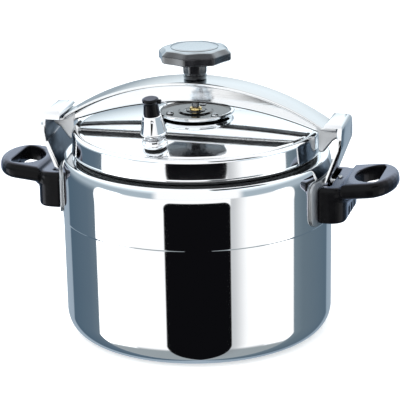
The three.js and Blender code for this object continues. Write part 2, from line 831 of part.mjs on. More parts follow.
function ring(inner, outer, low, high) {
  return bar(outer, low, high, outer, 2 * roundSegments).subtract(
    bar(inner, low - 1, high + 1, inner, 2 * roundSegments),
  );
}

// The tongue's own thickness, up to the ramp at its higher edge.
function rampedTongue() {
  const rise = (rampSlope * bowPlateWidth) / 2;
  const half = bowPlateWidth / 2;
  return block(
    tongueStart - 1, tongueRadius + 1, -half, half, tongueTop - bowPlateThickness - 1, tongueTop + rise,
  ).subtract(bar(tongueStart, tongueTop - 20, bowTop, tongueStart, 2 * roundSegments));
}

function threadBush() {
  return bar(bushRadius, bowWebFoot + touchGap, bowTop - touchGap, bushRadius, 20).subtract(
    bar(spindleRadius + touchGap, bowWebFoot - 5, bowTop + 5),
  );
}

// ---------------------------------------------------------------- knob, spindle and foot
function knobOutline(radius, hollow) {
  const steps = 6;
  const points = [];
  for (let lobe = 0; lobe < knobLobes; lobe += 1) {
    for (let i = 0; i < steps; i += 1) {
      const share = i / steps;
      const angle = ((lobe + share) * 2 * Math.PI) / knobLobes;
      const dip = Math.sin(Math.PI * share) ** 0.7;
      const flat = radius * (1 - (1 - Math.cos(Math.PI / knobLobes)) * Math.sin(Math.PI * share));
      points.push(point((flat - hollow * dip) * Math.cos(angle), (flat - hollow * dip) * Math.sin(angle)));
    }
  }
  return new THREE.Shape(points);
}

function knob() {
  const cup = turned([
    point(0, knobBase),
    point(knobNeckRadius - 1, knobBase),
    point(knobNeckRadius - 1, knobBase + knobSeat),
    point(knobNeckRadius, knobBase + knobSeat + 1),
    point(knobNeckRadius, knobUnderside + 1),
    point(0, knobUnderside + 1),
  ], 24);
  return bevelledPlate(knobOutline(knobRadius, knobHollow), knobUnderside, knobTop, knobBevel, 1)
    .add(cup)
    .subtract(bar(spindleRadius + touchGap, knobBase - 5, spindleTop + touchGap))
    .subtract(bar(knobCapRadius + touchGap, knobTop - 1.5, knobTop + 5, knobCapRadius + touchGap, 32))
    .subtract(crossPin(crossPinRadius + touchGap, 2 * knobNeckRadius + 2));
}

function knobCap() {
  return bar(knobCapRadius, knobTop - 1.5 + touchGap, knobTop, knobCapRadius, 32).add(
    bar(knobCapRadius, knobTop - 0.1, knobTop + 0.5, knobCapRadius - 3, 32),
  );
}

function crossPin(radius = crossPinRadius, length = 2 * knobNeckRadius - 0.6) {
  return barAlongX(radius, -length / 2, length / 2, 0, crossPinHeight, 10);
}

function spindle() {
  const tip = 2.4;
  const tipLength = footHeight - 1.5;
  const tipBase = footBase + 1.5 + touchGap;
  return bar(spindleRadius, footBase + footHeight + touchGap, spindleTop)
    .add(bar(tip, tipBase, tipBase + tipLength + 1))
    .subtract(crossPin(crossPinRadius + touchGap, 20));
}

function pressureFoot() {
  return turned([
    point(0, footBase),
    point(footRadius - 1, footBase),
    point(footRadius, footBase + 1),
    point(footRadius - 1.5, footBase + footHeight),
    point(2.4 + touchGap, footBase + footHeight),
    point(2.4 + touchGap, footBase + 1.5),
    point(0, footBase + 1.5),
  ], 24);
}

// ---------------------------------------------------------------- assembly
const canner = new THREE.Group();
addPiece(canner, "pot_body", potBody(), polishedAluminium);

for (const side of [
  { name: "right", turn: 0 },
  { name: "left", turn: Math.PI },
]) {
  const group = new THREE.Group();
  group.rotation.z = side.turn;
  canner.add(group);
  addPiece(group, `saddle_${side.name}`, saddle(), castAluminium);
  addPiece(group, `hook_bracket_${side.name}`, bracket(), polishedAluminium);
  addPiece(group, `handle_${side.name}`, handle(), blackBakelite);
  addPiece(group, `handle_bolt_${side.name}`, handleBolt(), steel);
  addPiece(group, `handle_lock_screw_${side.name}`, lockScrew(), steel);
  for (const place of rivetPlaces()) {
    addPiece(group, `rivet_${side.name}_${place.name}`, rivet(place.y), castAluminium);
  }
}

addPiece(canner, "lid", lidShell(), polishedAluminium);
addPiece(canner, "gasket", gasket(), blackRubber);
addPiece(canner, "pressure_dish", pressureDish(), polishedAluminium);
dishScrewPlaces().forEach((place, i) => {
  addPiece(canner, `dish_screw_${i + 1}`, dishScrew(place), steel);
});

const vent = domeFrame(lidRadius - ventInset, ventAzimuth);
canner.add(vent);
addPiece(vent, "vent_washer", washer(ventBaseRadius - 1.6, ventThreadRadius + touchGap), blackRubber);
addPiece(vent, "vent_pipe", ventPipe(), chrome);
addPiece(vent, "vent_nut", nut(9, ventThreadRadius + touchGap), steel);
const regulator = new THREE.Group();
regulator.rotation.z = -ventAzimuth * degree;
vent.add(regulator);
addPiece(regulator, "regulator_weight", regulatorWeight(), chrome);
addPiece(regulator, "regulator_cap", regulatorCap(), blackBakelite);
addPiece(regulator, "regulator_wire", liftingWire(), steel);
addPiece(regulator, "regulator_clip", springClip(), steel);

const plug = domeFrame(lidRadius - plugInset, plugAzimuth);
canner.add(plug);
addPiece(plug, "safety_washer", washer(plugBodyRadius, plugThreadRadius + touchGap), blackRubber);
addPiece(plug, "safety_valve_body", plugBody(), chrome);
addPiece(plug, "safety_nut", nut(10, plugThreadRadius + touchGap), steel);
addPiece(plug, "safety_plug", plugCore(), blackRubber);

addPiece(canner, "bow", bow(), polishedAluminium);
addPiece(canner, "thread_bush", threadBush(), brass);
addPiece(canner, "pressure_foot", pressureFoot(), brass);
addPiece(canner, "spindle", spindle(), steel);
addPiece(canner, "knob", knob(), blackBakelite);
addPiece(canner, "knob_cap", knobCap(), blackBakelite);
addPiece(canner, "knob_pin", crossPin(), steel);

export default canner;
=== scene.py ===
"""The looks of a pressure canner with a clamp-down lid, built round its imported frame.

Shapes are made in millimetres with +Z up, as the frame's are, and scaled to metres as they are
finished. The bow and the handles lie along X, and the steam regulator is on the -Y side.
"""

import math

import bmesh
import bpy
from mathutils import Matrix, Vector


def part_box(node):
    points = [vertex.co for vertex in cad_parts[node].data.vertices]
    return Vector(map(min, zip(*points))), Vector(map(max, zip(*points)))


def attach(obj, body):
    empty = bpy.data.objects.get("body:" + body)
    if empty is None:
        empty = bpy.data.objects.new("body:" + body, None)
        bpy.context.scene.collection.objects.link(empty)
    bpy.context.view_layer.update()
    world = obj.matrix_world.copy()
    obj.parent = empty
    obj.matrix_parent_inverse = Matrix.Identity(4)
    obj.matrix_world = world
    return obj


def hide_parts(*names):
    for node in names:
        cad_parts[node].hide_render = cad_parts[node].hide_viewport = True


bl_info = {
    "name": "Pressure canner",
    "version": (1, 0, 0),
    "blender": (4, 5, 0),
    "location": "View3D > Sidebar > Canner",
    "description": "Models a clamp-lid pressure canner round its CAD frame",
    "category": "Add Mesh",
}

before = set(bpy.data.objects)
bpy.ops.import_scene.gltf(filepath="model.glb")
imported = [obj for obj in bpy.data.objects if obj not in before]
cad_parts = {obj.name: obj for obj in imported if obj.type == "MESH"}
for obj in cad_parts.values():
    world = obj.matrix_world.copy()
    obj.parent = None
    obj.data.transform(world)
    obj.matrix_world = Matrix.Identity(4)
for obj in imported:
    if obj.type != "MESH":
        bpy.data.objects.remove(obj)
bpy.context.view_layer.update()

MM = 0.001
RIGHT = Matrix.Identity(4)
LEFT = Matrix.Rotation(math.pi, 4, "Z")
SIDES = (("right", RIGHT), ("left", LEFT))
ALONG_X = Matrix.Rotation(math.radians(90), 4, "Y")
ACROSS_Y = Matrix.Rotation(math.radians(90), 4, "X")
FACING_X = Matrix.Rotation(math.radians(90), 4, "Z") @ ACROSS_Y


def low(node):
    """Lowest corner of a frame node, in millimetres."""
    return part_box(node)[0] / MM


def high(node):
    """Highest corner of a frame node, in millimetres."""
    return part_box(node)[1] / MM


# ---------------------------------------------------------------- sizes that follow from the frame
POT_RADIUS = high("pot_body").x
RIM = high("pot_body").z
DOME_TOP = high("lid").z
LID_RADIUS = high("lid").x - 0.4
SKIRT_FOOT = RIM + 3.9
SKIRT_TOP = SKIRT_FOOT + 18.6
BOW_TOP = high("bow").z
BRACKET_TOP = high("hook_bracket_right").z
HOOK_OUTER = high("hook_bracket_right").x
LIP_INNER = HOOK_OUTER - 17
HOOK_INNER = HOOK_OUTER - 4
TONGUE_TOP = BRACKET_TOP - 6.6
TONGUE_END = HOOK_INNER - 1.5
TONGUE_START = LIP_INNER - 0.6
RAMP = 0.0809
BASE_BAND = 20.7
FLOOR_THICKNESS = 4
WALL_STEP = 110.1
RIVET_DROP = 41
RIVET_REACH = 11
BEAD_INNER = LID_RADIUS - 5.5
DOME_CURVE = (DOME_TOP - SKIRT_TOP - 1.1) / BEAD_INNER**2
DISH_BASE = DOME_TOP + 0.3
DISH_SEAT = DISH_BASE + 2
DISH_SCREW_CIRCLE = 24
KNOB_BASE = BOW_TOP + 0.3
KNOB_TOP = high("knob").z
KNOB_UNDERSIDE = KNOB_TOP - 11.8
CAP_RADIUS = 21


def dome_height(radius):
    """Height of the lid's dome at a radius."""
    return DOME_TOP - DOME_CURVE * radius**2


def dome_frame(radius, azimuth):
    """Placement square to the dome, at a radius and an azimuth in degrees."""
    turn = math.radians(azimuth)
    place = Vector((radius * math.cos(turn), radius * math.sin(turn), dome_height(radius)))
    tilt = math.atan(2 * DOME_CURVE * radius)
    return Matrix.Translation(place) @ Matrix.Rotation(turn, 4, "Z") @ Matrix.Rotation(tilt, 4, "Y")


VENT_AZIMUTH = -99.1
PLUG_AZIMUTH = 69
VENT = dome_frame(LID_RADIUS - 24.9, VENT_AZIMUTH)
REGULATOR = VENT @ Matrix.Rotation(math.radians(-VENT_AZIMUTH), 4, "Z")
PLUG = dome_frame(LID_RADIUS - 43, PLUG_AZIMUTH)


# ---------------------------------------------------------------- settings a user would change
class CannerSizes(bpy.types.PropertyGroup):
    """Sizes of the pieces"""

    round_steps: bpy.props.IntProperty(
        name="Round steps", description="Facets round the large turned pieces", default=224, min=48
    )
    wall_step: bpy.props.FloatProperty(
        name="Wall step", description="Step in the pot's wall", default=0.0005, unit="LENGTH"
    )
    rim_rounding: bpy.props.FloatProperty(
        name="Shoulder", description="Height of the rounding under the pot's rim",
        default=0.020, unit="LENGTH",
    )
    bow_width: bpy.props.FloatProperty(
        name="Bow width", description="Width of the bow's top plate",
        default=(high("bow").y - low("bow").y) * MM, unit="LENGTH",
    )
    bow_thickness: bpy.props.FloatProperty(
        name="Bow plate", description="Thickness of the bow's top plate",
        default=0.0032, unit="LENGTH",
    )
    web_thickness: bpy.props.FloatProperty(
        name="Bow web", description="Thickness of the web under the bow's plate",
        default=0.013, unit="LENGTH",
    )
    knob_radius: bpy.props.FloatProperty(
        name="Knob radius", description="Radius over the knob's lobes",
        default=(high("knob").x + 1.2) * MM, unit="LENGTH",
    )
    knob_lobes: bpy.props.IntProperty(
        name="Knob lobes", description="Number of lobes round the knob", default=8, min=3
    )
    thread_pitch: bpy.props.FloatProperty(
        name="Thread pitch", description="Pitch of the spindle's thread",
        default=0.0015, unit="LENGTH",
    )


class CannerFinishes(bpy.types.PropertyGroup):
    """Colours and polish of the materials"""

    aluminium: bpy.props.FloatVectorProperty(
        name="Aluminium", description="Colour of the polished aluminium",
        default=(0.90, 0.915, 0.93), subtype="COLOR", min=0, max=1,
    )
    cast: bpy.props.FloatVectorProperty(
        name="Cast aluminium", description="Colour of the die-cast pads",
        default=(0.74, 0.77, 0.80), subtype="COLOR", min=0, max=1,
    )
    bakelite: bpy.props.FloatVectorProperty(
        name="Bakelite", description="Colour of the knob and handles",
        default=(0.010, 0.010, 0.012), subtype="COLOR", min=0, max=1,
    )
    rubber: bpy.props.FloatVectorProperty(
        name="Rubber", description="Colour of the gasket and washers",
        default=(0.012, 0.013, 0.014), subtype="COLOR", min=0, max=1,
    )
    chrome: bpy.props.FloatVectorProperty(
        name="Chrome", description="Colour of the plated regulator",
        default=(0.90, 0.91, 0.93), subtype="COLOR", min=0, max=1,
    )
    steel: bpy.props.FloatVectorProperty(
        name="Steel", description="Colour of the screws and spindle",
        default=(0.60, 0.61, 0.63), subtype="COLOR", min=0, max=1,
    )
    brass: bpy.props.FloatVectorProperty(
        name="Brass", description="Colour of the bush and the foot",
        default=(0.74, 0.55, 0.24), subtype="COLOR", min=0, max=1,
    )
    polish: bpy.props.FloatProperty(
        name="Polish", description="Roughness of the mirror polish", default=0.03, min=0, max=1,
        subtype="FACTOR",
    )


class CannerStudio(bpy.types.PropertyGroup):
    """Where the camera stands and how it looks"""

    azimuth: bpy.props.FloatProperty(
        name="Azimuth", description="Side the camera stands on, from -Y towards +X",
        default=math.radians(15), subtype="ANGLE",
    )
    elevation: bpy.props.FloatProperty(
        name="Elevation", description="Camera's angle above level",
        default=math.radians(17.26), subtype="ANGLE",
    )
    roll: bpy.props.FloatProperty(
        name="Roll", description="Camera's roll", default=math.radians(-1.11), subtype="ANGLE"
    )
    distance: bpy.props.FloatProperty(
        name="Distance", description="Camera's distance", default=1.916, unit="LENGTH"
    )
    aim_height: bpy.props.FloatProperty(
        name="Aim height", description="Height the camera looks at", default=0.1184, unit="LENGTH"
    )
    lens: bpy.props.FloatProperty(
        name="Lens", description="Focal length", default=188.0, unit="CAMERA"
    )


def sizes():
    return bpy.context.scene.canner_sizes


def finishes():
    return bpy.context.scene.canner_finishes


# ---------------------------------------------------------------- shader expressions
class Value:
    """A shader socket on which Python arithmetic adds Math nodes."""

    def __init__(self, tree, socket):
        self.tree = tree
        self.socket = socket

    def math(self, operation, *others, first=True):
        node = self.tree.nodes.new("ShaderNodeMath")
        node.operation = operation
        operands = (self, *others) if first else (*others, self)
        for socket, operand in zip(node.inputs, operands):
            if isinstance(operand, Value):
                self.tree.links.new(operand.socket, socket)
            else:
                socket.default_value = operand
        return Value(self.tree, node.outputs[0])

    def __add__(self, other):
        return self.math("ADD", other)

    __radd__ = __add__

    def __sub__(self, other):
        return self.math("SUBTRACT", other)

    def __rsub__(self, other):
        return self.math("SUBTRACT", other, first=False)

    def __mul__(self, other):
        return self.math("MULTIPLY", other)

    __rmul__ = __mul__

    def __truediv__(self, other):
        return self.math("DIVIDE", other)

    def __abs__(self):
        return self.math("ABSOLUTE")

    def above(self, floor):
        return self.math("MAXIMUM", floor)


class Graph:
    """A node tree and the few ways nodes are added to it."""

    def __init__(self, tree):
        self.tree = tree
        tree.nodes.clear()

    def node(self, kind, settings=None, values=None, output=0):
        made = self.tree.nodes.new(kind)
        for name, setting in (settings or {}).items():
            if name == "stops":
                self.set_stops(made.color_ramp, setting)
            else:
                setattr(made, name, setting)
        for key, value in (values or {}).items():
            if isinstance(value, Value):
                self.tree.links.new(value.socket, made.inputs[key])
            else:
                made.inputs[key].default_value = value
        return Value(self.tree, made.outputs[output]) if made.outputs else made

    @staticmethod
    def set_stops(ramp, stops):
        while len(ramp.elements) < len(stops):
            ramp.elements.new(0.5)
        for element, (position, colour) in zip(ramp.elements, stops):
            element.position = position
            element.color = (*colour, 1)

    def mix(self, factor, one, other):
        """Colours blended by a factor."""
        node = self.tree.nodes.new("ShaderNodeMix")
        node.data_type = "RGBA"
        for key, value in ((0, factor), (6, one), (7, other)):
            if isinstance(value, Value):
                self.tree.links.new(value.socket, node.inputs[key])
            else:
                node.inputs[key].default_value = value if key == 0 else (*value, 1)
        return Value(self.tree, node.outputs[2])

    def ramp_between(self, value, start, end, first=0.0, last=1.0):
        """A smooth step of a value from one level to another."""
        return self.node(
            "ShaderNodeMapRange",
            {"interpolation_type": "SMOOTHSTEP"},
            {"Value": value, "From Min": start, "From Max": end, "To Min": first, "To Max": last},
        )


# ---------------------------------------------------------------- finishes
BUFFED_ALONG_X = (0.06, 1, 1)
LINE_RELIEF = 0.0002
GRAIN_RELIEF = 0.0003
WORN_ROUGHNESS = 0.35
SHEEN_ROUGHNESS = 0.16


def object_position(graph, scale=(1, 1, 1)):
    place = graph.node("ShaderNodeTexCoord", output=3)
    return graph.node("ShaderNodeMapping", {}, {"Vector": place, "Scale": scale})


def turned_position(graph):
    """Distance from the axis and height, so that a pattern runs round a turned piece."""
    place = graph.node("ShaderNodeTexCoord", output=3)
    flat = graph.node(
        "ShaderNodeVectorMath", {"operation": "MULTIPLY"}, {0: place, 1: (1, 1, 0)}
    )
    radius = graph.node("ShaderNodeVectorMath", {"operation": "LENGTH"}, {0: flat}, output=1)
    height = graph.node("ShaderNodeSeparateXYZ", {}, {0: place}, output=2)
    return graph.node("ShaderNodeCombineXYZ", {}, {0: radius, 1: height})


def noise(graph, vector, scale, detail=2.0):
    return graph.node(
        "ShaderNodeTexNoise", {}, {"Vector": vector, "Scale": scale, "Detail": detail}
    )


def finish(name, colour, roughness, metallic=1.0, lines=None, line_scale=1500.0, line_depth=0.02,
           line_rough=0.04, smudge=0.04, smudge_scale=14.0, grain=None, grain_depth=0.1, coat=0.0,
           coat_roughness=0.03, specular=0.5, sheen=None, sheen_power=4.0):
    """A finish with worked lines, smudges and grain.

    Lines are "turned", or a scale along each axis. A sheen is the colour of the gloss that shows
    at a low angle, and its power says how low.
    """
    existing = bpy.data.materials.get(name)
    if existing:
        return existing
    material = bpy.data.materials.new(name)
    material.use_nodes = True
    graph = Graph(material.node_tree)
    place = object_position(graph)
    patches = noise(graph, place, smudge_scale, 4.0)
    worn = graph.ramp_between(patches, 0.42, 0.68)
    darker = tuple(channel * (1 - smudge) for channel in colour)
    base = graph.mix(worn, tuple(colour), darker)
    rough = roughness + worn * (roughness * WORN_ROUGHNESS)
    height = None
    if lines is not None:
        along = turned_position(graph) if lines == "turned" else object_position(graph, lines)
        marks = noise(graph, along, line_scale, 3.0)
        rough = rough + graph.ramp_between(marks, 0.35, 0.75) * line_rough
        height = graph.node(
            "ShaderNodeBump", {},
            {"Strength": line_depth, "Distance": LINE_RELIEF, "Height": marks},
        )
    if grain is not None:
        pits = noise(graph, place, grain, 3.0)
        values = {"Strength": grain_depth, "Distance": GRAIN_RELIEF, "Height": pits}
        if height is not None:
            values["Normal"] = height
        height = graph.node("ShaderNodeBump", {}, values)
    values = {
        "Base Color": base, "Metallic": metallic, "Roughness": rough, "Coat Weight": coat,
        "Coat Roughness": coat_roughness, "Specular IOR Level": specular,
    }
    if height is not None:
        values["Normal"] = height
    shader = graph.node("ShaderNodeBsdfPrincipled", {}, values)
    if sheen is not None:
        slant = graph.node("ShaderNodeLayerWeight", {}, {"Blend": 0.5}, output=1)
        gloss = graph.node(
            "ShaderNodeBsdfPrincipled", {},
            {"Base Color": (*sheen, 1), "Metallic": 1.0, "Roughness": SHEEN_ROUGHNESS},
        )
        shader = graph.node(
            "ShaderNodeMixShader", {}, {0: slant.math("POWER", sheen_power), 1: shader, 2: gloss}
        )
    graph.node("ShaderNodeOutputMaterial", {}, {"Surface": shader})
    return material


def toned(colour, share):
    """A colour darkened to a share of itself."""
    return [share * channel for channel in colour]


def spun_aluminium():
    look = finishes()
    return finish("spun_aluminium", look.aluminium, look.polish, lines="turned", line_scale=900.0,
                  line_depth=0.012, line_rough=0.015, smudge=0.02)


def lid_aluminium():
    look = finishes()
    return finish("lid_aluminium", look.aluminium, look.polish * 1.8, lines="turned",
                  line_scale=1100.0, line_depth=0.02, line_rough=0.03, smudge=0.02)


def buffed_aluminium():
    look = finishes()
    return finish("buffed_aluminium", look.aluminium, look.polish * 2, lines=BUFFED_ALONG_X,
                  line_scale=1300.0, line_depth=0.02, line_rough=0.03, smudge=0.03)


def satin_casting():
    return finish("satin_casting", toned(finishes().cast, 0.62), 0.34, smudge=0.06,
                  smudge_scale=60.0, grain=1400.0, grain_depth=0.05)


# Painted shade: the aluminium darkened to two thirds for the bow's top faces.
def bow_top_painted_shade():
    return finish("bow_top_painted_shade", toned(finishes().aluminium, 0.66), 0.07,
                  lines=BUFFED_ALONG_X, line_scale=1300.0, line_depth=0.02, line_rough=0.03,
                  smudge=0.03)


def brushed_ends():
    return finish("brushed_ends", finishes().aluminium, 0.34, lines=BUFFED_ALONG_X,
                  line_scale=1300.0, line_depth=0.04, line_rough=0.05, smudge=0.03)


# Painted shade: the cast colour darkened to near black for the bow's underside, so that the lid
# shows it dark.
def underside_painted_shade():
    return finish("underside_painted_shade", toned(finishes().cast, 0.06), 0.35, smudge=0.2,
                  smudge_scale=60.0, grain=900.0, grain_depth=0.1)


# Painted shade: a dark blue-grey for the hook brackets' inner faces, between bracket and pot.
def bracket_inner_painted_shade():
    return finish("bracket_inner_painted_shade", (0.11, 0.145, 0.19), 0.3, smudge=0.25, smudge_scale=50.0,
                  grain=900.0, grain_depth=0.08)


# Painted shade: the aluminium darkened to near black for the dish's hollow and the foot's outer
# ring.
def dish_and_foot_painted_shade():
    return finish("dish_and_foot_painted_shade", toned(finishes().aluminium, 0.12), 0.16, lines="turned",
                  line_scale=900.0, line_depth=0.03, line_rough=0.06, smudge=0.1)


def handle_bakelite():
    return finish("handle_bakelite", toned(finishes().bakelite, 0.3), 0.2, metallic=0.0,
                  smudge=-0.5, smudge_scale=90.0, grain=700.0, grain_depth=0.035, specular=0.1,
                  sheen=(0.62, 0.68, 0.95), sheen_power=4.5)


def gloss_bakelite():
    return finish("gloss_bakelite", finishes().bakelite, 0.16, metallic=0.0, smudge=-0.5,
                  smudge_scale=90.0, grain=700.0, grain_depth=0.02, coat=0.3, coat_roughness=0.05,
                  specular=0.35, sheen=(0.84, 0.93, 1.0), sheen_power=2.4)


def matt_rubber():
    return finish("matt_rubber", finishes().rubber, 0.5, metallic=0.0, smudge=-0.8,
                  smudge_scale=120.0, grain=1800.0, grain_depth=0.2)


def chrome_plate():
    return finish("chrome_plate", finishes().chrome, 0.03, smudge=0.03, smudge_scale=140.0)


def turned_steel():
    return finish("turned_steel", finishes().steel, 0.2, lines="turned", line_scale=2500.0,
                  line_depth=0.06, line_rough=0.1, smudge=0.08, smudge_scale=160.0)


def turned_brass():
    return finish("turned_brass", finishes().brass, 0.18, lines="turned", line_scale=2500.0,
                  line_depth=0.05, line_rough=0.1, smudge=0.12, smudge_scale=160.0)


# ---------------------------------------------------------------- shaping
def arc(x, y, radius_x, radius_y, start, end, steps):
    """Points of an elliptical arc, its angles in degrees."""
    angles = [math.radians(start + (end - start) * i / steps) for i in range(steps + 1)]
    return [(x + radius_x * math.cos(a), y + radius_y * math.sin(a)) for a in angles]


def rounded(corners, closed=False, steps=5):
    """An outline from (x, y) or (x, y, radius) corners, each rounded to its radius."""
    points = []
    count = len(corners)
    for i, corner in enumerate(corners):
        here = Vector(corner[:2])
        radius = corner[2] if len(corner) > 2 else 0
        if not radius or (not closed and i in (0, count - 1)):
            points.append(tuple(here))
            continue
        back = (Vector(corners[i - 1][:2]) - here).normalized()
        ahead = (Vector(corners[(i + 1) % count][:2]) - here).normalized()
        half = back.angle(ahead) / 2
        reach = radius / math.tan(half)
        centre = here + (back + ahead).normalized() * (radius / math.sin(half))
        start = here + back * reach - centre
        turn = start.angle_signed(here + ahead * reach - centre)
        for k in range(steps + 1):
            spoke = start.copy()
            spoke.rotate(Matrix.Rotation(-turn * k / steps, 2))
            points.append(tuple(centre + spoke))
    return points


def spun(outline, steps=None, closed=False):
    """A piece turned about Z from an outline of (radius, height) points."""
    steps = steps or sizes().round_steps
    bm = bmesh.new()
    verts = [bm.verts.new((radius, 0, height)) for radius, height in outline]
    pairs = list(zip(verts, verts[1:]))
    if closed:
        pairs.append((verts[-1], verts[0]))
    edges = [bm.edges.new(pair) for pair in pairs]
    bmesh.ops.spin(
        bm, geom=verts + edges, cent=(0, 0, 0), axis=(0, 0, 1), angle=2 * math.pi, steps=steps,
        use_merge=True, use_normal_flip=False, use_duplicate=False,
    )
    bmesh.ops.remove_doubles(bm, verts=bm.verts, dist=1e-4)
    bmesh.ops.recalc_face_normals(bm, faces=bm.faces)
    return bm


def extruded(outline, depth):
    """A plate of a depth, from an outline on the XY plane."""
    bm = bmesh.new()
    face = bm.faces.new([bm.verts.new((x, y, 0)) for x, y in outline])
    made = bmesh.ops.extrude_face_region(bm, geom=[face])
    risen = [item for item in made["geom"] if isinstance(item, bmesh.types.BMVert)]
    bmesh.ops.translate(bm, vec=(0, 0, depth), verts=risen)
    bmesh.ops.recalc_face_normals(bm, faces=bm.faces)
    return bm


def swept(rings):
    """A tube through rings of points, closed at both ends."""
    bm = bmesh.new()
    ring = [bm.verts.new(point) for point in rings[0]]
    edges = [bm.edges.new(pair) for pair in zip(ring, ring[1:] + ring[:1])]
    bmesh.ops.contextual_create(bm, geom=edges)
    for points in rings[1:]:
        made = bmesh.ops.extrude_edge_only(bm, edges=edges)["geom"]
        fresh = {item for item in made if isinstance(item, bmesh.types.BMVert)}
        ring = [
            next(e.other_vert(v) for e in v.link_edges if e.other_vert(v) in fresh) for v in ring
        ]
        for vert, point in zip(ring, points):
            vert.co = point
        edges = [bm.edges.get(pair) for pair in zip(ring, ring[1:] + ring[:1])]
    bmesh.ops.contextual_create(bm, geom=edges)
    bmesh.ops.recalc_face_normals(bm, faces=bm.faces)
    return bm


def bar(radius, start, end, steps=32, chamfer=0.0):
    """A round bar along Z."""
    outline = [(0, start), (radius, start, chamfer), (radius, end, chamfer), (0, end)]
    return spun(rounded(outline, steps=3), steps)


def holder(bm):
    """A short-lived object that carries a mesh through a modifier."""
    mesh = bpy.data.meshes.new("shaping")
    bm.to_mesh(mesh)
    bm.free()
    obj = bpy.data.objects.new("shaping", mesh)
    bpy.context.scene.collection.objects.link(obj)
    return obj


def evaluated(obj, others=()):
    """The mesh a holder's modifiers make. The holders are removed."""
    bm = bmesh.new()
    bpy.context.view_layer.update()
    bm.from_object(obj, bpy.context.evaluated_depsgraph_get())
    for used in (obj, *others):
        mesh = used.data
        bpy.data.objects.remove(used)
        bpy.data.meshes.remove(mesh)
    return bm


def combined(bm, others, operation):
    """A solid with others cut from it, joined to it or kept as their overlap."""
    base = holder(bm)
    tools = [holder(other) for other in others]
    for tool in tools:
        modifier = base.modifiers.new("combine", "BOOLEAN")
        modifier.operation = operation
        modifier.solver = "EXACT"
        modifier.object = tool
    return evaluated(base, tools)


def remeshed(bm, voxel, smoothing):
    """A solid made of even small faces, with its edges softened."""
    base = holder(bm)
    modifier = base.modifiers.new("remesh", "REMESH")
    modifier.mode = "VOXEL"
    modifier.voxel_size = voxel
    result = evaluated(base)
    for _ in range(smoothing):
        bmesh.ops.smooth_vert(
            result, verts=result.verts, factor=0.5, use_axis_x=True, use_axis_y=True,
            use_axis_z=True,
        )
    return result


def frame_copy(node):
    """A merged copy of a frame node's mesh, in millimetres."""
    bm = bmesh.new()
    bm.from_mesh(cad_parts[node].data)
    bmesh.ops.scale(bm, vec=(1 / MM, 1 / MM, 1 / MM), verts=bm.verts)
    bmesh.ops.remove_doubles(bm, verts=bm.verts, dist=1e-3)
    return bm


def soften(bm, width, segments, angle):
    """Bevels the edges of a solid that are sharper than an angle in degrees."""
    limit = math.radians(angle)
    sharp = [e for e in bm.edges if len(e.link_faces) == 2 and e.calc_face_angle(0) > limit]
    bmesh.ops.bevel(
        bm, geom=sharp, offset=width, offset_type="OFFSET", segments=segments, profile=0.5,
        affect="EDGES", clamp_overlap=True, material=-1,
    )
    return bm


def add_piece(name, bm, material, body, slot, *nodes, placed=RIGHT, angle=32):
    """Turns a shape into a piece that rides on a body and stands for frame nodes."""
    bm.transform(Matrix.Scale(MM, 4) @ placed)
    mesh = bpy.data.meshes.new(name)
    bm.to_mesh(mesh)
    bm.free()
    mesh.polygons.foreach_set("use_smooth", [True] * len(mesh.polygons))
    mesh.set_sharp_from_angle(angle=math.radians(angle))
    mesh.materials.append(material)
    obj = bpy.data.objects.new(name, mesh)
    bpy.context.scene.collection.objects.link(obj)
    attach(obj, body)
    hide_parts(*nodes)
    return obj


def other_finish(obj, material, chosen):
    """Gives the faces chosen by their centre, in millimetres, and normal another finish."""
    obj.data.materials.append(material)
    index = len(obj.data.materials) - 1
    for polygon in obj.data.polygons:
        if chosen(polygon.center / MM, polygon.normal):
            polygon.material_index = index


def dress(material, *nodes):
    """Gives frame nodes that stay visible their finish."""
    for node in nodes:
        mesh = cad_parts[node].data
        mesh.materials.clear()
        mesh.materials.append(material)


# ---------------------------------------------------------------- pot
def pot_outline():
    """Outside, rim and inside of the pot."""
    wall = POT_RADIUS
    step = sizes().wall_step / MM
    shoulder = sizes().rim_rounding / MM
    below = wall - step
    inner = below - 3
    base = below - 0.6
    return [
        *rounded([(0, 0), (wall - 19.2, 0, 3)], steps=4),
        *arc(base - 17, BASE_BAND, 17, BASE_BAND, -86, 0, 28),
        (base, BASE_BAND + 0.6), (below, WALL_STEP - 1.3), (below, WALL_STEP - 0.9),
        (below + 0.1, WALL_STEP - 0.7), (wall - 0.1, WALL_STEP - 0.2), (wall, WALL_STEP),
        (wall, WALL_STEP + 0.5), (wall, RIM - shoulder - 0.6),
        *arc(wall - 3.2, RIM - shoulder, 3.2, shoulder, 0, 86, 28),
        (wall - 4.0, RIM), (wall - 19.6, RIM), (wall - 20.2, RIM - 0.6),
        (wall - 20.2, RIM - 2.6), (wall - 19.8, RIM - 3),
        *arc(inner - 6, RIM - 11, 6, 8, 90, 0, 10),
        *arc(inner - 15.6, BASE_BAND, 15, BASE_BAND - FLOOR_THICKNESS, 0, -90, 16),
        (0, FLOOR_THICKNESS),
    ]


class CANNER_OT_pot(bpy.types.Operator):
    """Turns the pot's body"""

    bl_idname = "canner.pot"
    bl_label = "Pot body"

    def execute(self, context):
        bm = spun(pot_outline())
        add_piece("pot_shell", bm, spun_aluminium(), "pot", "polished_aluminium", "pot_body")
        return {"FINISHED"}


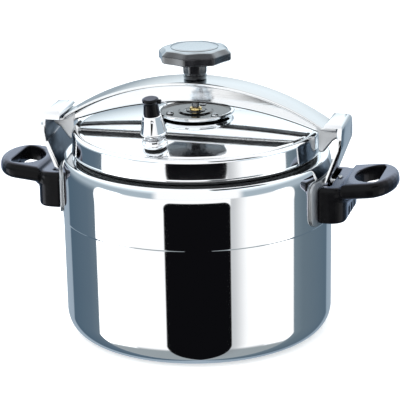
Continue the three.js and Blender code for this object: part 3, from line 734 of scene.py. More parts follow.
# ---------------------------------------------------------------- saddles and hook brackets
def saddle_shape():
    """A pad hollowed to the wall, flat in front for the bracket, with soft edges."""
    corner, depth, thickness, gap = 9, 30, 2.4, 0.15
    lo, hi = low("saddle_right"), high("saddle_right")
    half = hi.y + 2
    outline = rounded([
        (-half, lo.z, corner), (half, lo.z, corner), (half, hi.z, corner), (-half, hi.z, corner),
    ], closed=True, steps=6)
    bm = extruded(outline, depth)
    bm.transform(FACING_X)
    bmesh.ops.translate(bm, vec=(hi.x - depth, 0, 0), verts=bm.verts)
    outside = bar(POT_RADIUS + thickness, 0, RIM + 20, sizes().round_steps)
    bm = combined(bm, [outside], "INTERSECT")
    wall = bar(POT_RADIUS + gap, 0, RIM + 20, sizes().round_steps)
    bm = combined(bm, [wall], "DIFFERENCE")
    bmesh.ops.remove_doubles(bm, verts=bm.verts, dist=1e-3)
    return soften(bm, 1.0, 3, 50)


def bracket_shape():
    """A bent plate with a lip that is ramped underneath."""
    back = low("hook_bracket_right").x
    foot = low("hook_bracket_right").z
    plate, lower_bend, upper_bend = 4, 147, 180
    side = rounded([
        (back, foot), (back + plate, foot), (back + plate, lower_bend, 9),
        (HOOK_OUTER, upper_bend, 12), (HOOK_OUTER, BRACKET_TOP, 6.0),
        (LIP_INNER, BRACKET_TOP, 5.2), (LIP_INNER, TONGUE_TOP - 6), (HOOK_INNER, TONGUE_TOP - 6),
        (HOOK_INNER, upper_bend, 10), (back, lower_bend, 11),
    ], closed=True, steps=8)
    blank_width = 60
    bent = extruded(side, blank_width)
    bent.transform(ACROSS_Y)
    bmesh.ops.translate(bent, vec=(0, blank_width / 2, 0), verts=bent.verts)
    half, half_foot, flare, lip = 27, 16, 140, BRACKET_TOP + 0.1
    front = rounded([
        (-half_foot, foot, 3), (half_foot, foot, 3), (half, flare, 20), (half, lip, 14),
        (-half, lip, 14), (-half, flare, 20),
    ], closed=True, steps=8)
    silhouette = extruded(front, 40)
    silhouette.transform(Matrix.Translation((back - 8, 0, 0)) @ FACING_X)
    under = bmesh.new()
    bmesh.ops.create_cube(under, size=1)
    length, width, height = 30, 80, 20
    bmesh.ops.scale(under, vec=(length, width, height), verts=under.verts)
    bmesh.ops.translate(under, vec=(HOOK_INNER - length / 2, 0, -height / 2), verts=under.verts)
    bmesh.ops.rotate(
        under, cent=(0, 0, 0), matrix=Matrix.Rotation(-math.atan(RAMP), 3, "X"), verts=under.verts
    )
    bmesh.ops.translate(under, vec=(0, 0, TONGUE_TOP + 0.5), verts=under.verts)
    bm = combined(bent, [silhouette], "INTERSECT")
    bm = combined(bm, [under], "DIFFERENCE")
    bmesh.ops.remove_doubles(bm, verts=bm.verts, dist=1e-3)
    return soften(bm, 0.8, 3, 45)


def rivet_shape(y):
    """Shank with a domed head at each end, along X."""
    shank, head, dome = 3, 6, 2.4
    inside = math.sqrt((POT_RADIUS - 4.1) ** 2 - (abs(y) + head) ** 2) - 0.6
    outside = low("hook_bracket_right").x + 4.3
    outline = [
        (0, inside - dome), *arc(0, inside, head, dome, -90, 0, 6)[1:],
        (shank, inside), (shank, outside),
        (head, outside), *arc(0, outside, head, dome, 0, 90, 6)[1:],
    ]
    bm = spun(outline, 32)
    bm.transform(Matrix.Translation((0, y, RIM - RIVET_DROP)) @ ALONG_X)
    return bm


class CANNER_OT_brackets(bpy.types.Operator):
    """Shapes the saddles, hook brackets and rivets on both sides"""

    bl_idname = "canner.brackets"
    bl_label = "Saddles and brackets"

    def execute(self, context):
        for side, placed in SIDES:
            add_piece(
                f"saddle_pad_{side}", saddle_shape(), satin_casting(), "pot", "cast_aluminium",
                f"saddle_{side}", placed=placed,
            )
            plate = add_piece(
                f"hook_plate_{side}", bracket_shape(), buffed_aluminium(), "pot",
                "polished_aluminium", f"hook_bracket_{side}", placed=placed,
            )
            outwards = placed.to_3x3() @ Vector((1, 0, 0))
            # Painted shade on the bracket's inner faces below the tongue.
            other_finish(
                plate, bracket_inner_painted_shade(),
                lambda centre, normal: normal.dot(outwards) < -0.5 and centre.z < TONGUE_TOP + 2,
            )
            for row, y in (("front", -RIVET_REACH), ("back", RIVET_REACH)):
                add_piece(
                    f"domed_rivet_{side}_{row}", rivet_shape(y), satin_casting(), "pot",
                    "cast_aluminium", f"rivet_{side}_{row}", placed=placed,
                )
        return {"FINISHED"}


# ---------------------------------------------------------------- handles
def slotted_head(seat, radius, height):
    """A screw head on Z with a slot across it."""
    slot_width, slot_depth = 0.8, 0.6
    head = spun(rounded([
        (0, seat), (radius, seat, 0.2), (radius * 0.8, seat + height, 0.5), (0, seat + height),
    ], steps=3), 32)
    slot = bmesh.new()
    bmesh.ops.create_cube(slot, size=1)
    bmesh.ops.scale(slot, vec=(radius * 2.4, slot_width, 2 * slot_depth), verts=slot.verts)
    bmesh.ops.translate(slot, vec=(0, 0, seat + height), verts=slot.verts)
    return combined(head, [slot], "DIFFERENCE")


class CANNER_OT_handles(bpy.types.Operator):
    """Moulds the two loop handles, with their bolts and lock screws"""

    bl_idname = "canner.handles"
    bl_label = "Handles"

    def execute(self, context):
        voxel, smoothing = 0.75, 5
        head_radius, head_height = 2.6, 1.4
        seat = high("handle_lock_screw_right").z - head_height
        place = Matrix.Translation((low("handle_lock_screw_right").x + head_radius, 0, 0))
        for side, placed in SIDES:
            moulding = remeshed(frame_copy(f"handle_{side}"), voxel, smoothing)
            add_piece(
                f"loop_handle_{side}", moulding, handle_bakelite(), "pot", "black_bakelite",
                f"handle_{side}", angle=60,
            )
            screw = slotted_head(seat, head_radius, head_height)
            add_piece(
                f"lock_screw_{side}", screw, turned_steel(), "pot", "steel",
                f"handle_lock_screw_{side}", placed=placed @ place,
            )
            dress(turned_steel(), f"handle_bolt_{side}")
        return {"FINISHED"}


# ---------------------------------------------------------------- lid
def lid_outline():
    """Dome, bead, skirt and foot lip outside, then the collar, ledge and dome inside."""
    dome = [(radius, dome_height(radius)) for radius in range(0, 105, 4)]
    edge = LID_RADIUS
    ledge = SKIRT_FOOT + 3.3
    collar_outer, collar_inner, thickness = 101.8, 98.8, 3
    return [
        *dome,
        (edge - 6.9, dome_height(edge - 6.9)), (edge - 6.2, dome_height(edge - 6.2) - 0.4),
        (edge - 5.6, SKIRT_TOP + 0.75), (edge - 4.9, SKIRT_TOP + 0.95),
        *arc(edge - 3.4, SKIRT_TOP - 2.3, 3.4, 3.4, 100, 0, 14),
        *rounded([
            (edge, SKIRT_TOP - 3), (edge, SKIRT_FOOT + 1.8, 0.8), (edge + 0.5, SKIRT_FOOT + 1, 0.3),
            (edge + 0.5, SKIRT_FOOT, 0.3), (edge - 2.7, SKIRT_FOOT, 0.3), (edge - 2.7, ledge),
            (collar_outer, ledge, 0.5), (collar_outer, ledge - 11, 1.2),
            (collar_inner, ledge - 11, 1.2), (collar_inner, ledge + 2.4, 1.5),
            (edge - thickness, ledge + 2.4), (edge - thickness, dome_height(edge) - thickness),
        ], steps=3),
        *[(radius, dome_height(radius) - thickness) for radius in range(104, -1, -8)],
    ]


def gasket_outline():
    """Section of the rubber ring, with soft corners."""
    lo, hi = low("gasket"), high("gasket")
    inner = 102.2
    return rounded([
        (inner, lo.z, 0.8), (hi.x, lo.z, 1.2), (hi.x, hi.z, 0.8), (inner, hi.z, 0.8),
    ], closed=True, steps=4)


class CANNER_OT_lid(bpy.types.Operator):
    """Turns the lid and its gasket"""

    bl_idname = "canner.lid"
    bl_label = "Lid and gasket"

    def execute(self, context):
        add_piece(
            "domed_lid", spun(lid_outline()), lid_aluminium(), "lid_assembly",
            "polished_aluminium", "lid",
        )
        add_piece(
            "sealing_ring", spun(gasket_outline(), closed=True), matt_rubber(), "lid_assembly",
            "black_rubber", "gasket",
        )
        return {"FINISHED"}


class CANNER_OT_dish(bpy.types.Operator):
    """Turns the pressure dish in the middle of the lid and sets its three screws"""

    bl_idname = "canner.dish"
    bl_label = "Pressure dish"

    def execute(self, context):
        base, seat = DISH_BASE, DISH_SEAT
        radius, rim, ring = 35, base + 4.2, seat + 1.3
        outline = rounded([
            (0, base), (radius - 2, base, 1), (radius, base + 1.8, 1), (radius, rim, 1.0),
            (radius - 2.8, rim, 1.0), (radius - 4.2, seat + 0.2, 1.0), (16.5, seat, 1.2),
            (14.4, ring, 0.6), (10.3, ring, 0.6), (9.9, seat, 0.2), (0, seat),
        ], steps=5)
        dish = add_piece(
            "rimmed_dish", spun(outline, 160), spun_aluminium(), "lid_assembly",
            "polished_aluminium", "pressure_dish",
        )
        # Painted shade in the dish's hollow.
        other_finish(
            dish, dish_and_foot_painted_shade(),
            lambda centre, normal: normal.z > 0.4 and centre.z < rim - 0.4,
        )
        for number, angle in enumerate((90, 210, 330), start=1):
            turn = math.radians(angle)
            place = Matrix.Translation((
                DISH_SCREW_CIRCLE * math.cos(turn), DISH_SCREW_CIRCLE * math.sin(turn), 0,
            ))
            shank = bar(1.8, 188, seat + 0.5, 20)
            head = slotted_head(seat + 0.3, 3.6, 1.5)
            screw = combined(head, [shank], "UNION")
            add_piece(
                f"dish_fixing_{number}", screw, turned_steel(), "lid_assembly", "steel",
                f"dish_screw_{number}", placed=place,
            )
        return {"FINISHED"}


# ---------------------------------------------------------------- vent and regulator
def hexagon(radius, start, end, bore=0.0):
    """A six-sided nut with its corners turned down."""
    bm = bmesh.new()
    bmesh.ops.create_cone(
        bm, cap_ends=True, segments=6, radius1=radius, radius2=radius, depth=end - start
    )
    bmesh.ops.translate(bm, vec=(0, 0, (start + end) / 2), verts=bm.verts)
    inset = radius * 0.13
    turned = spun([
        (0, start), (radius - inset, start), (radius + 0.02, start + inset * 0.55),
        (radius + 0.02, end - inset * 0.55), (radius - inset, end), (0, end),
    ], 64)
    bm = combined(bm, [turned], "INTERSECT")
    if bore:
        bm = combined(bm, [bar(bore, start - 5, end + 5, 32)], "DIFFERENCE")
    return bm


def vent_outline():
    """Wide base with a rounded rim, a neck and the stem."""
    return rounded([
        (0, -9), (5, -9, 0.4), (5, 1.8), (11.2, 1.8, 0.8), (11.2, 5.0, 1.2), (9.6, 6.2, 0.8),
        (9.6, 8.5, 0.8), (6, 8.5, 0.6), (6, 13, 0.6), (4.15, 13), (4.15, 25, 0.6), (0, 25),
    ], steps=4)


def weight_outline():
    """Cone with a foot ring and a bore for the pipe."""
    return rounded([
        (4.45, 13.3), (11.5, 13.3, 0.8), (11.7, 14.8, 0.5), (11.3, 15.6, 0.5), (8.3, 30.3, 0.5),
        (7.8, 30.8, 0.3), (0, 30.8), (0, 26.5), (4.45, 26.5),
    ], steps=4)


def cap_outline():
    """Waisted cap with a grip edge on top."""
    base, top = 31.1, 46.1
    return rounded([
        (0, base), (7.2, base, 0.4), (7.1, base + 2.2, 1), (6.3, top - 5, 6), (6.8, top - 3.2, 0.6),
        (7.2, top - 2.4, 0.5), (7.2, top - 0.8, 0.7), (5.4, top, 1), (0, top - 0.2),
    ], steps=4)


def tube(path, radius, steps=10):
    """A round wire along a smooth path."""
    rings = []
    for i, here in enumerate(path):
        before, after = path[max(i - 1, 0)], path[min(i + 1, len(path) - 1)]
        along = (Vector(after) - Vector(before)).normalized()
        side = along.cross(Vector((0, 1, 0))).normalized()
        other = along.cross(side)
        rings.append([
            Vector(here) + radius * (side * math.cos(a) + other * math.sin(a))
            for a in (2 * math.pi * k / steps for k in range(steps))
        ])
    return swept(rings)


def clip_strip(turn):
    """One arched spring strip with its ends curled up."""
    half_length, half_width, thickness, height = 11.5, 1.7, 0.9, 8.85
    curl, sag, taper = 1.5, 0.4, 0.25
    bm = bmesh.new()
    bmesh.ops.create_grid(bm, x_segments=28, y_segments=2, size=1)
    bmesh.ops.scale(bm, vec=(half_length, half_width, 1), verts=bm.verts)
    for vert in bm.verts:
        away = abs(vert.co.x)
        vert.co.z = height + curl * max(0, (away - 7.5) / 4) ** 2 - sag * max(0, 1 - away / 7)
        vert.co.y *= 1 - taper * (away / half_length) ** 2
    bmesh.ops.solidify(bm, geom=bm.faces, thickness=thickness)
    bmesh.ops.recalc_face_normals(bm, faces=bm.faces)
    bmesh.ops.rotate(
        bm, cent=(0, 0, 0), matrix=Matrix.Rotation(math.radians(turn), 3, "Z"), verts=bm.verts
    )
    return bm


class CANNER_OT_vent(bpy.types.Operator):
    """Builds the vent pipe and the weighted steam regulator on it"""

    bl_idname = "canner.vent"
    bl_label = "Vent and regulator"

    def execute(self, context):
        body = "lid_assembly"
        add_piece("vent_seat", spun(vent_outline(), 72), chrome_plate(), body, "chrome",
                  "vent_pipe", placed=VENT)
        ring = rounded([(5.3, 0.3, 0.3), (9.6, 0.3, 0.3), (9.6, 1.5, 0.3), (5.3, 1.5, 0.3)],
                       closed=True, steps=2)
        add_piece("vent_seal", spun(ring, 48, closed=True), matt_rubber(), body, "black_rubber",
                  "vent_washer", placed=VENT)
        add_piece("vent_locknut", hexagon(9, -8.3, -3.3, 5.3), turned_steel(), body, "steel",
                  "vent_nut", placed=VENT)
        weight = spun(weight_outline(), 96)
        hole_height, hole_radius = 27.2, 1.25
        holes = []
        for turn in range(-75, 226, 60):
            hole = bar(hole_radius, 7.2, 14, 20)
            hole.transform(
                Matrix.Translation((0, 0, hole_height))
                @ Matrix.Rotation(math.radians(turn), 4, "Z") @ ALONG_X
            )
            holes.append(hole)
        weight = combined(weight, holes, "DIFFERENCE")
        add_piece("weight_cone", weight, chrome_plate(), "regulator", "chrome",
                  "regulator_weight", placed=REGULATOR)
        cap = spun(cap_outline(), 72)
        boss = spun(rounded([(0, 0), (2.1, 0), (2.1, 5.4, 0.7), (0, 5.6)], steps=3), 24)
        boss.transform(Matrix.Translation((4.2, 0, 43.1)) @ ALONG_X)
        cap = combined(cap, [boss], "UNION")
        add_piece("grip_cap", cap, handle_bakelite(), "regulator", "black_bakelite",
                  "regulator_cap", placed=REGULATOR)
        path = [
            (9.2 + 7.2 * math.sin(t) - 1.2 * t, 0, 41.0 + 2.1 * math.cos(1.15 * t))
            for t in (k * math.pi / 28 for k in range(23))
        ]
        add_piece("lifting_wire", tube(path, 0.6), turned_steel(), "regulator", "steel",
                  "regulator_wire", placed=REGULATOR)
        collar = spun(rounded([
            (6.3, 8.8, 0.2), (8.2, 8.8, 0.2), (8.2, 9.9, 0.3), (6.3, 9.9, 0.2),
        ], closed=True, steps=2), 48, closed=True)
        clip = combined(clip_strip(45), [clip_strip(-45), collar], "UNION")
        core = bar(6.3, 5, 14, 48)
        clip = combined(clip, [core], "DIFFERENCE")
        add_piece("spring_clip", clip, turned_steel(), "regulator", "steel", "regulator_clip",
                  placed=REGULATOR)
        return {"FINISHED"}


class CANNER_OT_plug(bpy.types.Operator):
    """Builds the over-pressure plug behind the bow"""

    bl_idname = "canner.plug"
    bl_label = "Over-pressure plug"

    def execute(self, context):
        body = "lid_assembly"
        ring = rounded([(6.3, 0.3, 0.3), (9, 0.3, 0.3), (9, 1.5, 0.3), (6.3, 1.5, 0.3)],
                       closed=True, steps=2)
        add_piece("plug_seal", spun(ring, 48, closed=True), matt_rubber(), body, "black_rubber",
                  "safety_washer", placed=PLUG)
        shell = combined(hexagon(10.2, 1.8, 7.8), [bar(6, -11, 2.2, 48)], "UNION")
        shell = combined(shell, [bar(3.3, -20, 20, 32)], "DIFFERENCE")
        add_piece("plug_shell", shell, chrome_plate(), body, "chrome", "safety_valve_body",
                  placed=PLUG)
        add_piece("plug_locknut", hexagon(10, -8.3, -3.3, 6.3), turned_steel(), body, "steel",
                  "safety_nut", placed=PLUG)
        core = spun(rounded([
            (0, -8), (3, -8, 0.5), (3, 8.1), (4.8, 8.1, 0.3), (4.4, 9.6, 0.8), (0, 9.8),
        ], steps=3), 40)
        add_piece("plug_core", core, matt_rubber(), body, "black_rubber", "safety_plug",
                  placed=PLUG)
        return {"FINISHED"}


# ---------------------------------------------------------------- bow
ARCH_ROUNDNESS = 0.095
RAMP_LEAD = 1.6
RAMP_LENGTH = 1.4
PLATE_ZONE = 3.5


def arch_height(s):
    """Height of the bow's top along its length."""
    share = min(abs(s) / TONGUE_START, 1)
    drop = (1 - ARCH_ROUNDNESS) * share**2 + ARCH_ROUNDNESS * share**4
    return BOW_TOP - (BOW_TOP - TONGUE_TOP) * drop


WEB_CROWN = DOME_TOP + 11.3
WEB_END = SKIRT_TOP + 2.4
HEEL = [
    (113.4, WEB_END), (114.2, WEB_END - 0.5), (114.55, WEB_END - 1.6), (114.65, RIM + 7.8),
    (115.2, RIM + 6.8), (116.2, RIM + 6.5), (118.0, RIM + 6.6), (119.4, RIM + 7.4),
    (127.0, TONGUE_TOP - 14.2), (128.4, TONGUE_TOP - 13.1), (TONGUE_END, TONGUE_TOP - 10.4),
]


def web_foot(s):
    """Height of the web's underside, down to the heels beside the lid."""
    away = abs(s)
    if away <= LID_RADIUS:
        return WEB_CROWN - (WEB_CROWN - WEB_END) * (away / LID_RADIUS) ** 2
    if away <= HEEL[0][0]:
        return WEB_END
    for (a, za), (b, zb) in zip(HEEL, HEEL[1:]):
        if away <= b:
            return za + (zb - za) * (away - a) / (b - a)
    return HEEL[-1][1]


def bow_section(s):
    """The T of the bow at a place along it, as (y, z) points."""
    half = sizes().bow_width / MM / 2
    plate = sizes().bow_thickness / MM
    web = sizes().web_thickness / MM / 2
    top, foot = arch_height(s), web_foot(s)
    edge, root, toe, crown = 0.8, 3.0, 2.2, 0.45
    right = [
        *[(half * k / 7, top - crown * (k / 7) ** 2) for k in range(1, 7)],
        (half - 1.6, top - crown * 0.82),
        *arc(half - edge, top - crown - edge, edge, edge, 84, 0, 4),
        *arc(half - edge, top - plate + edge, edge, edge, 0, -90, 4),
        *arc(web + root, top - plate - root, root, root, 90, 180, 5),
        (web, top - plate - root - 0.4), (web, foot + toe + 0.4),
        *arc(web - toe, foot + toe, toe, toe, 0, -90, 5),
    ]
    left = [(-y, z) for y, z in reversed(right)]
    return [(0, top), *right, (0, foot), *left]


def tongue_blend(s):
    """Share of the ramp at a place along the bow: none on the arch, all of it on the tongues."""
    share = min(max((abs(s) - TONGUE_START + RAMP_LEAD) / RAMP_LENGTH, 0), 1)
    return share * share * (3 - 2 * share)


def bow_ring(s):
    """A whole section in place, with its end cut to a round."""
    ring = []
    top = arch_height(s)
    for y, z in bow_section(s):
        reach = math.sqrt(TONGUE_END**2 - y**2)
        x = math.copysign(min(abs(s), reach), s)
        if z > top - PLATE_ZONE:
            z -= RAMP * y * math.copysign(tongue_blend(s), s)
        ring.append((x, y, z))
    return ring


class CANNER_OT_bow(bpy.types.Operator):
    """Sweeps the T-section bow and sets its threaded bush"""

    bl_idname = "canner.bow"
    bl_label = "Bow"

    def execute(self, context):
        arch = [*range(0, 109, 4), 111, 112.8]
        heel = [reach for reach, _ in HEEL]
        ramp = [119.8, 120.1, 120.5, 120.9, 121.3, 121.6, 124, 130.5, 132.0]
        half = sorted([*arch, *heel, *ramp])
        stations = [-s for s in reversed(half[1:])] + half
        bm = swept([bow_ring(s) for s in stations])
        bm = combined(bm, [bar(5.6, BOW_TOP - 40, BOW_TOP + 10, 48)], "DIFFERENCE")
        bow = add_piece(
            "arched_bow", bm, buffed_aluminium(), "bow_arm", "polished_aluminium", "bow"
        )
        # Painted shade on the bow's underside.
        other_finish(bow, underside_painted_shade(), lambda centre, normal: normal.z < -0.3)
        # Painted shade on the bow's top faces.
        other_finish(bow, bow_top_painted_shade(), lambda centre, normal: normal.z > 0.6)
        other_finish(
            bow, brushed_ends(),
            lambda centre, normal: abs(centre.x) > LID_RADIUS and abs(normal.y) > 0.5,
        )
        lo, hi = low("thread_bush").z, high("thread_bush").z
        bush = spun(rounded([
            (4.3, lo, 0.4), (5.3, lo, 0.4), (5.3, hi, 0.4), (4.3, hi, 0.4),
        ], closed=True, steps=2), 48, closed=True)
        add_piece("brass_bush", bush, turned_brass(), "bow_arm", "brass", "thread_bush")
        return {"FINISHED"}


# ---------------------------------------------------------------- screw, foot and knob
class CANNER_OT_screw(bpy.types.Operator):
    """Turns the threaded spindle, its foot and the cross pin"""

    bl_idname = "canner.screw"
    bl_label = "Spindle and foot"

    def execute(self, context):
        foot = low("pressure_foot").z
        cup, lip = foot + 1.5, foot + 3.6
        outline = rounded([
            (0, foot), (8, foot, 0.4), (9, foot + 0.7, 0.4), (8.6, cup, 0.4),
            (5.6, foot + 1.8, 0.3), (5.3, lip, 0.4), (2.7, lip, 0.2), (2.7, cup), (0, cup),
        ], steps=3)
        piece = add_piece("brass_foot", spun(outline, 64), turned_brass(), "foot", "brass",
                          "pressure_foot")
        # Painted shade on the foot's outer ring.
        other_finish(
            piece, dish_and_foot_painted_shade(), lambda centre, normal: math.hypot(centre.x, centre.y) > 6.5
        )
        base, top = low("spindle").z, high("spindle").z
        pitch = sizes().thread_pitch / MM
        shank = foot + 3.9
        crest, root = 3.95, 3.35
        thread = []
        height = shank + 0.8
        while height < BOW_TOP:
            thread += [
                (crest, height), (crest, height + pitch * 0.2), (root, height + pitch * 0.55),
                (root, height + pitch * 0.7),
            ]
            height += pitch
        outline = [
            *rounded([(0, base), (2.4, base, 0.5), (2.4, shank), (3.2, shank)], steps=3),
            *thread, (4, height), *rounded([(4, top - 1), (4, top, 0.5), (0, top)], steps=3),
        ]
        add_piece("threaded_spindle", spun(outline, 48), turned_steel(), "screw_knob", "steel",
                  "spindle")
        pin = bar(1.25, -10.2, 10.2, 24, 0.3)
        middle = (low("knob_pin").z + high("knob_pin").z) / 2
        add_piece(
            "cross_pin", pin, turned_steel(), "screw_knob", "steel", "knob_pin",
            placed=Matrix.Translation((0, 0, middle)) @ ALONG_X,
        )
        return {"FINISHED"}


def knob_outline():
    """Collar, neck, underside, chamfered edge and crowned top of the knob."""
    radius = sizes().knob_radius / MM
    under, top = KNOB_UNDERSIDE, KNOB_TOP
    return rounded([
        (4.3, KNOB_BASE), (10.4, KNOB_BASE, 0.5), (10.8, KNOB_BASE + 3.2, 0.5),
        (9.9, KNOB_BASE + 3.8, 0.2), (9.9, KNOB_BASE + 4.6, 0.2), (11.2, KNOB_BASE + 5.4, 0.6),
        (11.4, under, 1.2), (radius - 1.4, under, 0.5), (radius, under + 1.2, 0.8),
        (radius, under + 2.8), (radius, top - 6.2), (radius, top - 4.6, 1.2),
        (radius - 4.6, top - 1.0, 3.5), (CAP_RADIUS + 0.9, top - 0.15, 0.3),
        (CAP_RADIUS + 0.7, top - 0.9), (CAP_RADIUS + 0.2, top - 0.9),
        (CAP_RADIUS + 0.2, top - 1.4), (4.3, top - 1.4),
    ], steps=5)


LOBE_DEPTH = 0.02
CORNER_ROUNDING = 0.012
CORNER_SHARE = 0.06


def lobe_scale(angle, lobes, depth):
    """Radius of the lobed edge at an angle, as a share of the full radius."""
    step = 2 * math.pi / lobes
    share = (angle % step) / step
    flat = (1 - math.cos(step / 2)) * math.sin(math.pi * share) + depth * math.sin(math.pi * share)
    corner = CORNER_ROUNDING * math.exp(-((min(share, 1 - share) / CORNER_SHARE) ** 2))
    return 1 - flat - corner


class CANNER_OT_knob(bpy.types.Operator):
    """Moulds the lobed knob and its cap"""

    bl_idname = "canner.knob"
    bl_label = "Knob"

    def execute(self, context):
        lobes = sizes().knob_lobes
        radius = sizes().knob_radius / MM
        plain, full = CAP_RADIUS + 1, radius - 4
        neck_inner, neck_outer, neck_foot, neck_turn = 10.7, 12, KNOB_BASE + 4.8, 0.2
        bm = spun(knob_outline(), lobes * 26)
        for vert in bm.verts:
            away = math.hypot(vert.co.x, vert.co.y)
            angle = math.atan2(vert.co.y, vert.co.x)
            if away > plain + 0.2:
                reach = min((away - plain) / (full - plain), 1)
                scale = 1 - (1 - lobe_scale(angle, lobes, LOBE_DEPTH)) * reach
            elif neck_inner < away < neck_outer and vert.co.z > neck_foot:
                scale = lobe_scale(angle + neck_turn, lobes, 0.0)
            else:
                scale = 1
            vert.co.x *= scale
            vert.co.y *= scale
        add_piece("star_knob", bm, gloss_bakelite(), "screw_knob", "black_bakelite", "knob",
                  angle=24)
        top = KNOB_TOP
        cap = spun(rounded([
            (0, top - 1.2), (CAP_RADIUS, top - 1.2), (CAP_RADIUS, top - 0.1, 0.4),
            (17.5, top + 0.35, 2), (0, top + 0.5),
        ], steps=4), 128)
        add_piece("crown_cap", cap, gloss_bakelite(), "screw_knob", "black_bakelite", "knob_cap")
        return {"FINISHED"}


# ---------------------------------------------------------------- studio
SKY = [
    (0.0, (0.42, 0.50, 0.56)), (0.51, (0.42, 0.50, 0.56)), (0.555, (0.86, 0.95, 1.0)),
    (0.60, (1.25, 1.38, 1.45)), (0.72, (1.3, 1.3, 1.3)), (1.0, (0.9, 0.92, 0.95)),
]
SLATE = [
    (0.0, (0.36, 0.44, 0.52)), (0.104, (0.34, 0.42, 0.50)), (0.110, (0.08, 0.13, 0.18)),
    (0.2, (0.11, 0.16, 0.21)), (0.25, (0.17, 0.22, 0.26)), (0.74, (0.20, 0.26, 0.30)),
    (0.78, (0.14, 0.19, 0.23)), (0.9, (0.10, 0.15, 0.20)), (0.908, (0.30, 0.38, 0.46)),
    (1.0, (0.36, 0.44, 0.52)),
]
DARK_CEILING = (0.03, 0.04, 0.05)
HORIZON = (1.1, 1.1, 1.1)
WHITE_WALL = (1.15, 1.15, 1.15)
LEFT_LAMP = (3.2, 3.2, 3.2)
RIGHT_LAMP = (2.0, 2.0, 2.0)
WALL_FOOT = (0.34, 0.38, 0.40)
WALL_SHADE = (0.30, 0.32, 0.34)
BLACK_CARD = (0.004, 0.004, 0.005)
SOFTBOX_PLACE = Vector((-0.3, -0.5, 2.0))
SOFTBOX_SIZE = 1.6
SOFTBOX_POWER = 16
FLOOR_HALF = 6
FLOOR_GLOW = 0.42
SHIFT_X = 0.00625
SHIFT_Y = -0.00075


def studio_world(scene, facing):
    """Plain white to the eye, and white walls, slate ends and a black card in reflections."""
    world = bpy.data.worlds.new("studio")
    world.use_nodes = True
    scene.world = world
    graph = Graph(world.node_tree)
    way = graph.node("ShaderNodeTexCoord", output=0)
    towards = (math.sin(facing), -math.cos(facing), 0)
    sideways = (math.cos(facing), math.sin(facing), 0)
    dot = {"operation": "DOT_PRODUCT"}
    near = graph.node("ShaderNodeVectorMath", dot, {0: way, 1: towards}, 1)
    side = graph.node("ShaderNodeVectorMath", dot, {0: way, 1: sideways}, 1)
    azimuth = side.math("ARCTAN2", near) * (180 / math.pi)
    rise = graph.node("ShaderNodeSeparateXYZ", {}, {0: way}, 2)
    elevation = rise.math("ARCSINE") * (180 / math.pi)

    def panel(centre, half, top, corner, soft):
        """Mask of a panel that stands on the ground, with rounded upper corners."""
        across = (abs(azimuth - centre) - (half - corner)).above(0)
        up = (elevation - (top - corner)).above(0)
        distance = (across * across + up * up).math("SQRT") - corner
        return graph.ramp_between(distance, -soft, soft, 1.0, 0.0)

    def band(value, start, first, last, end):
        """Mask that rises from start to first and falls from last to end."""
        rise = graph.ramp_between(value, start, first, 0.0, 1.0)
        return rise * graph.ramp_between(value, last, end, 1.0, 0.0)

    colour = graph.node("ShaderNodeValToRGB", {"stops": SKY}, {0: elevation / 180 + 0.5})
    slate = graph.node("ShaderNodeValToRGB", {"stops": SLATE}, {0: azimuth / 360 + 0.5})
    ceiling = band(azimuth, 8, 16, 60, 72) * band(elevation, 20, 26, 48, 56)
    horizon = graph.ramp_between(abs(azimuth), 32, 40, 1.0, 0.0)
    horizon = horizon * graph.ramp_between(elevation, 16, 22, 1.0, 0.0)
    ground = graph.ramp_between(elevation, -12, -4, 1.0, 0.0)
    wall = panel(-4, 93, -6, 9, 0.8)
    foot = graph.ramp_between(elevation, -42, -30, 1.0, 0.0) * wall
    shade = graph.ramp_between(azimuth, 28, 44, 0.62, 0.0)
    shade = shade * graph.ramp_between(azimuth, 26, 28, 0.0, 1.0) * wall
    for mask, tone in (
        (ceiling, DARK_CEILING), (horizon, HORIZON), (ground, slate), (wall, WHITE_WALL),
        (panel(-79, 17, -6, 9, 2.0), LEFT_LAMP), (panel(74, 12, -6, 9, 2.0), RIGHT_LAMP),
        (foot, WALL_FOOT), (shade, WALL_SHADE), (panel(-0.7, 28, -9.5, 6, 0.5), BLACK_CARD),
    ):
        colour = graph.mix(mask, colour, tone)
    seen = graph.node("ShaderNodeLightPath", output=0)
    lit = graph.node("ShaderNodeBackground", {}, {"Color": colour, "Strength": 1.0})
    plain = graph.node("ShaderNodeBackground", {}, {"Color": (1, 1, 1, 1), "Strength": 1.0})
    both = graph.node("ShaderNodeMixShader", {}, {0: seen, 1: lit, 2: plain})
    graph.node("ShaderNodeOutputWorld", {}, {"Surface": both})


def pale_floor():
    """Near-white matt floor with the faintest mottling."""
    material = bpy.data.materials.new("pale_floor")
    material.use_nodes = True
    graph = Graph(material.node_tree)
    mottling = noise(graph, object_position(graph), 3.0)
    tone = graph.mix(mottling, (0.93, 0.93, 0.93), (0.95, 0.95, 0.95))
    shader = graph.node(
        "ShaderNodeBsdfPrincipled", {},
        {"Base Color": tone, "Roughness": 0.8, "Emission Color": (1, 1, 1, 1),
         "Emission Strength": FLOOR_GLOW},
    )
    graph.node("ShaderNodeOutputMaterial", {}, {"Surface": shader})
    return material


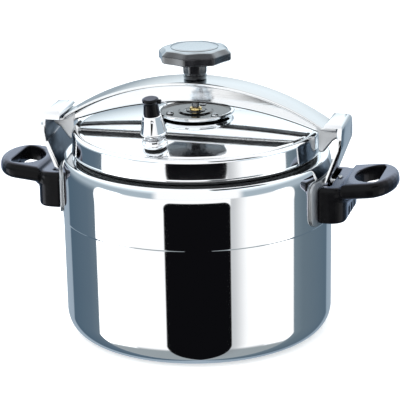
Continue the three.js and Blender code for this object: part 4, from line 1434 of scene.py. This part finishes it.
class CANNER_OT_studio(bpy.types.Operator):
    """Sets the pale floor, the soft light and the camera"""

    bl_idname = "canner.studio"
    bl_label = "Studio"

    def execute(self, context):
        scene = context.scene
        studio = scene.canner_studio
        bm = bmesh.new()
        bmesh.ops.create_grid(bm, x_segments=1, y_segments=1, size=FLOOR_HALF)
        mesh = bpy.data.meshes.new("studio_floor")
        bm.to_mesh(mesh)
        bm.free()
        mesh.materials.append(pale_floor())
        floor = bpy.data.objects.new("studio_floor", mesh)
        floor.visible_glossy = False
        scene.collection.objects.link(floor)
        studio_world(scene, studio.azimuth)
        lamp = bpy.data.lights.new("overhead_softbox", "AREA")
        lamp.shape = "DISK"
        lamp.size = SOFTBOX_SIZE
        lamp.energy = SOFTBOX_POWER
        light = bpy.data.objects.new("overhead_softbox", lamp)
        light.location = SOFTBOX_PLACE
        light.rotation_euler = (-SOFTBOX_PLACE).to_track_quat("-Z", "Y").to_euler()
        light.visible_glossy = False
        scene.collection.objects.link(light)
        lens = bpy.data.cameras.new("camera")
        lens.lens = studio.lens
        lens.sensor_width = 36
        lens.shift_x = SHIFT_X
        lens.shift_y = SHIFT_Y
        lens.clip_end = 50
        camera = bpy.data.objects.new("camera", lens)
        a, e = studio.azimuth, studio.elevation
        back = Vector((math.sin(a) * math.cos(e), -math.cos(a) * math.cos(e), math.sin(e)))
        camera.matrix_world = (
            Matrix.Translation(Vector((0, 0, studio.aim_height)) + back * studio.distance)
            @ back.to_track_quat("Z", "Y").to_matrix().to_4x4()
            @ Matrix.Rotation(studio.roll, 4, "Z")
        )
        scene.collection.objects.link(camera)
        scene.camera = camera
        scene.view_settings.view_transform = "Standard"
        return {"FINISHED"}


class CANNER_PT_panel(bpy.types.Panel):
    bl_idname = "CANNER_PT_panel"
    bl_label = "Pressure canner"
    bl_space_type = "VIEW_3D"
    bl_region_type = "UI"
    bl_category = "Canner"

    def draw(self, context):
        for operator in OPERATORS:
            self.layout.operator(operator.bl_idname)
        for name in GROUPS:
            group = getattr(context.scene, name)
            box = self.layout.box()
            for key in group.bl_rna.properties.keys():
                if key not in ("rna_type", "name"):
                    box.prop(group, key)


OPERATORS = (
    CANNER_OT_studio, CANNER_OT_pot, CANNER_OT_brackets, CANNER_OT_handles, CANNER_OT_lid,
    CANNER_OT_dish, CANNER_OT_vent, CANNER_OT_plug, CANNER_OT_bow, CANNER_OT_screw, CANNER_OT_knob,
)
GROUPS = {
    "canner_sizes": CannerSizes, "canner_finishes": CannerFinishes, "canner_studio": CannerStudio,
}


def register():
    for cls in (*GROUPS.values(), *OPERATORS, CANNER_PT_panel):
        bpy.utils.register_class(cls)
    for name, group in GROUPS.items():
        setattr(bpy.types.Scene, name, bpy.props.PointerProperty(type=group))


def unregister():
    for name in GROUPS:
        delattr(bpy.types.Scene, name)
    for cls in (CANNER_PT_panel, *reversed(OPERATORS), *GROUPS.values()):
        bpy.utils.unregister_class(cls)


def main():
    register()
    for operator in OPERATORS:
        family, name = operator.bl_idname.split(".")
        getattr(getattr(bpy.ops, family), name)()


if __name__ == "__main__":
    main()
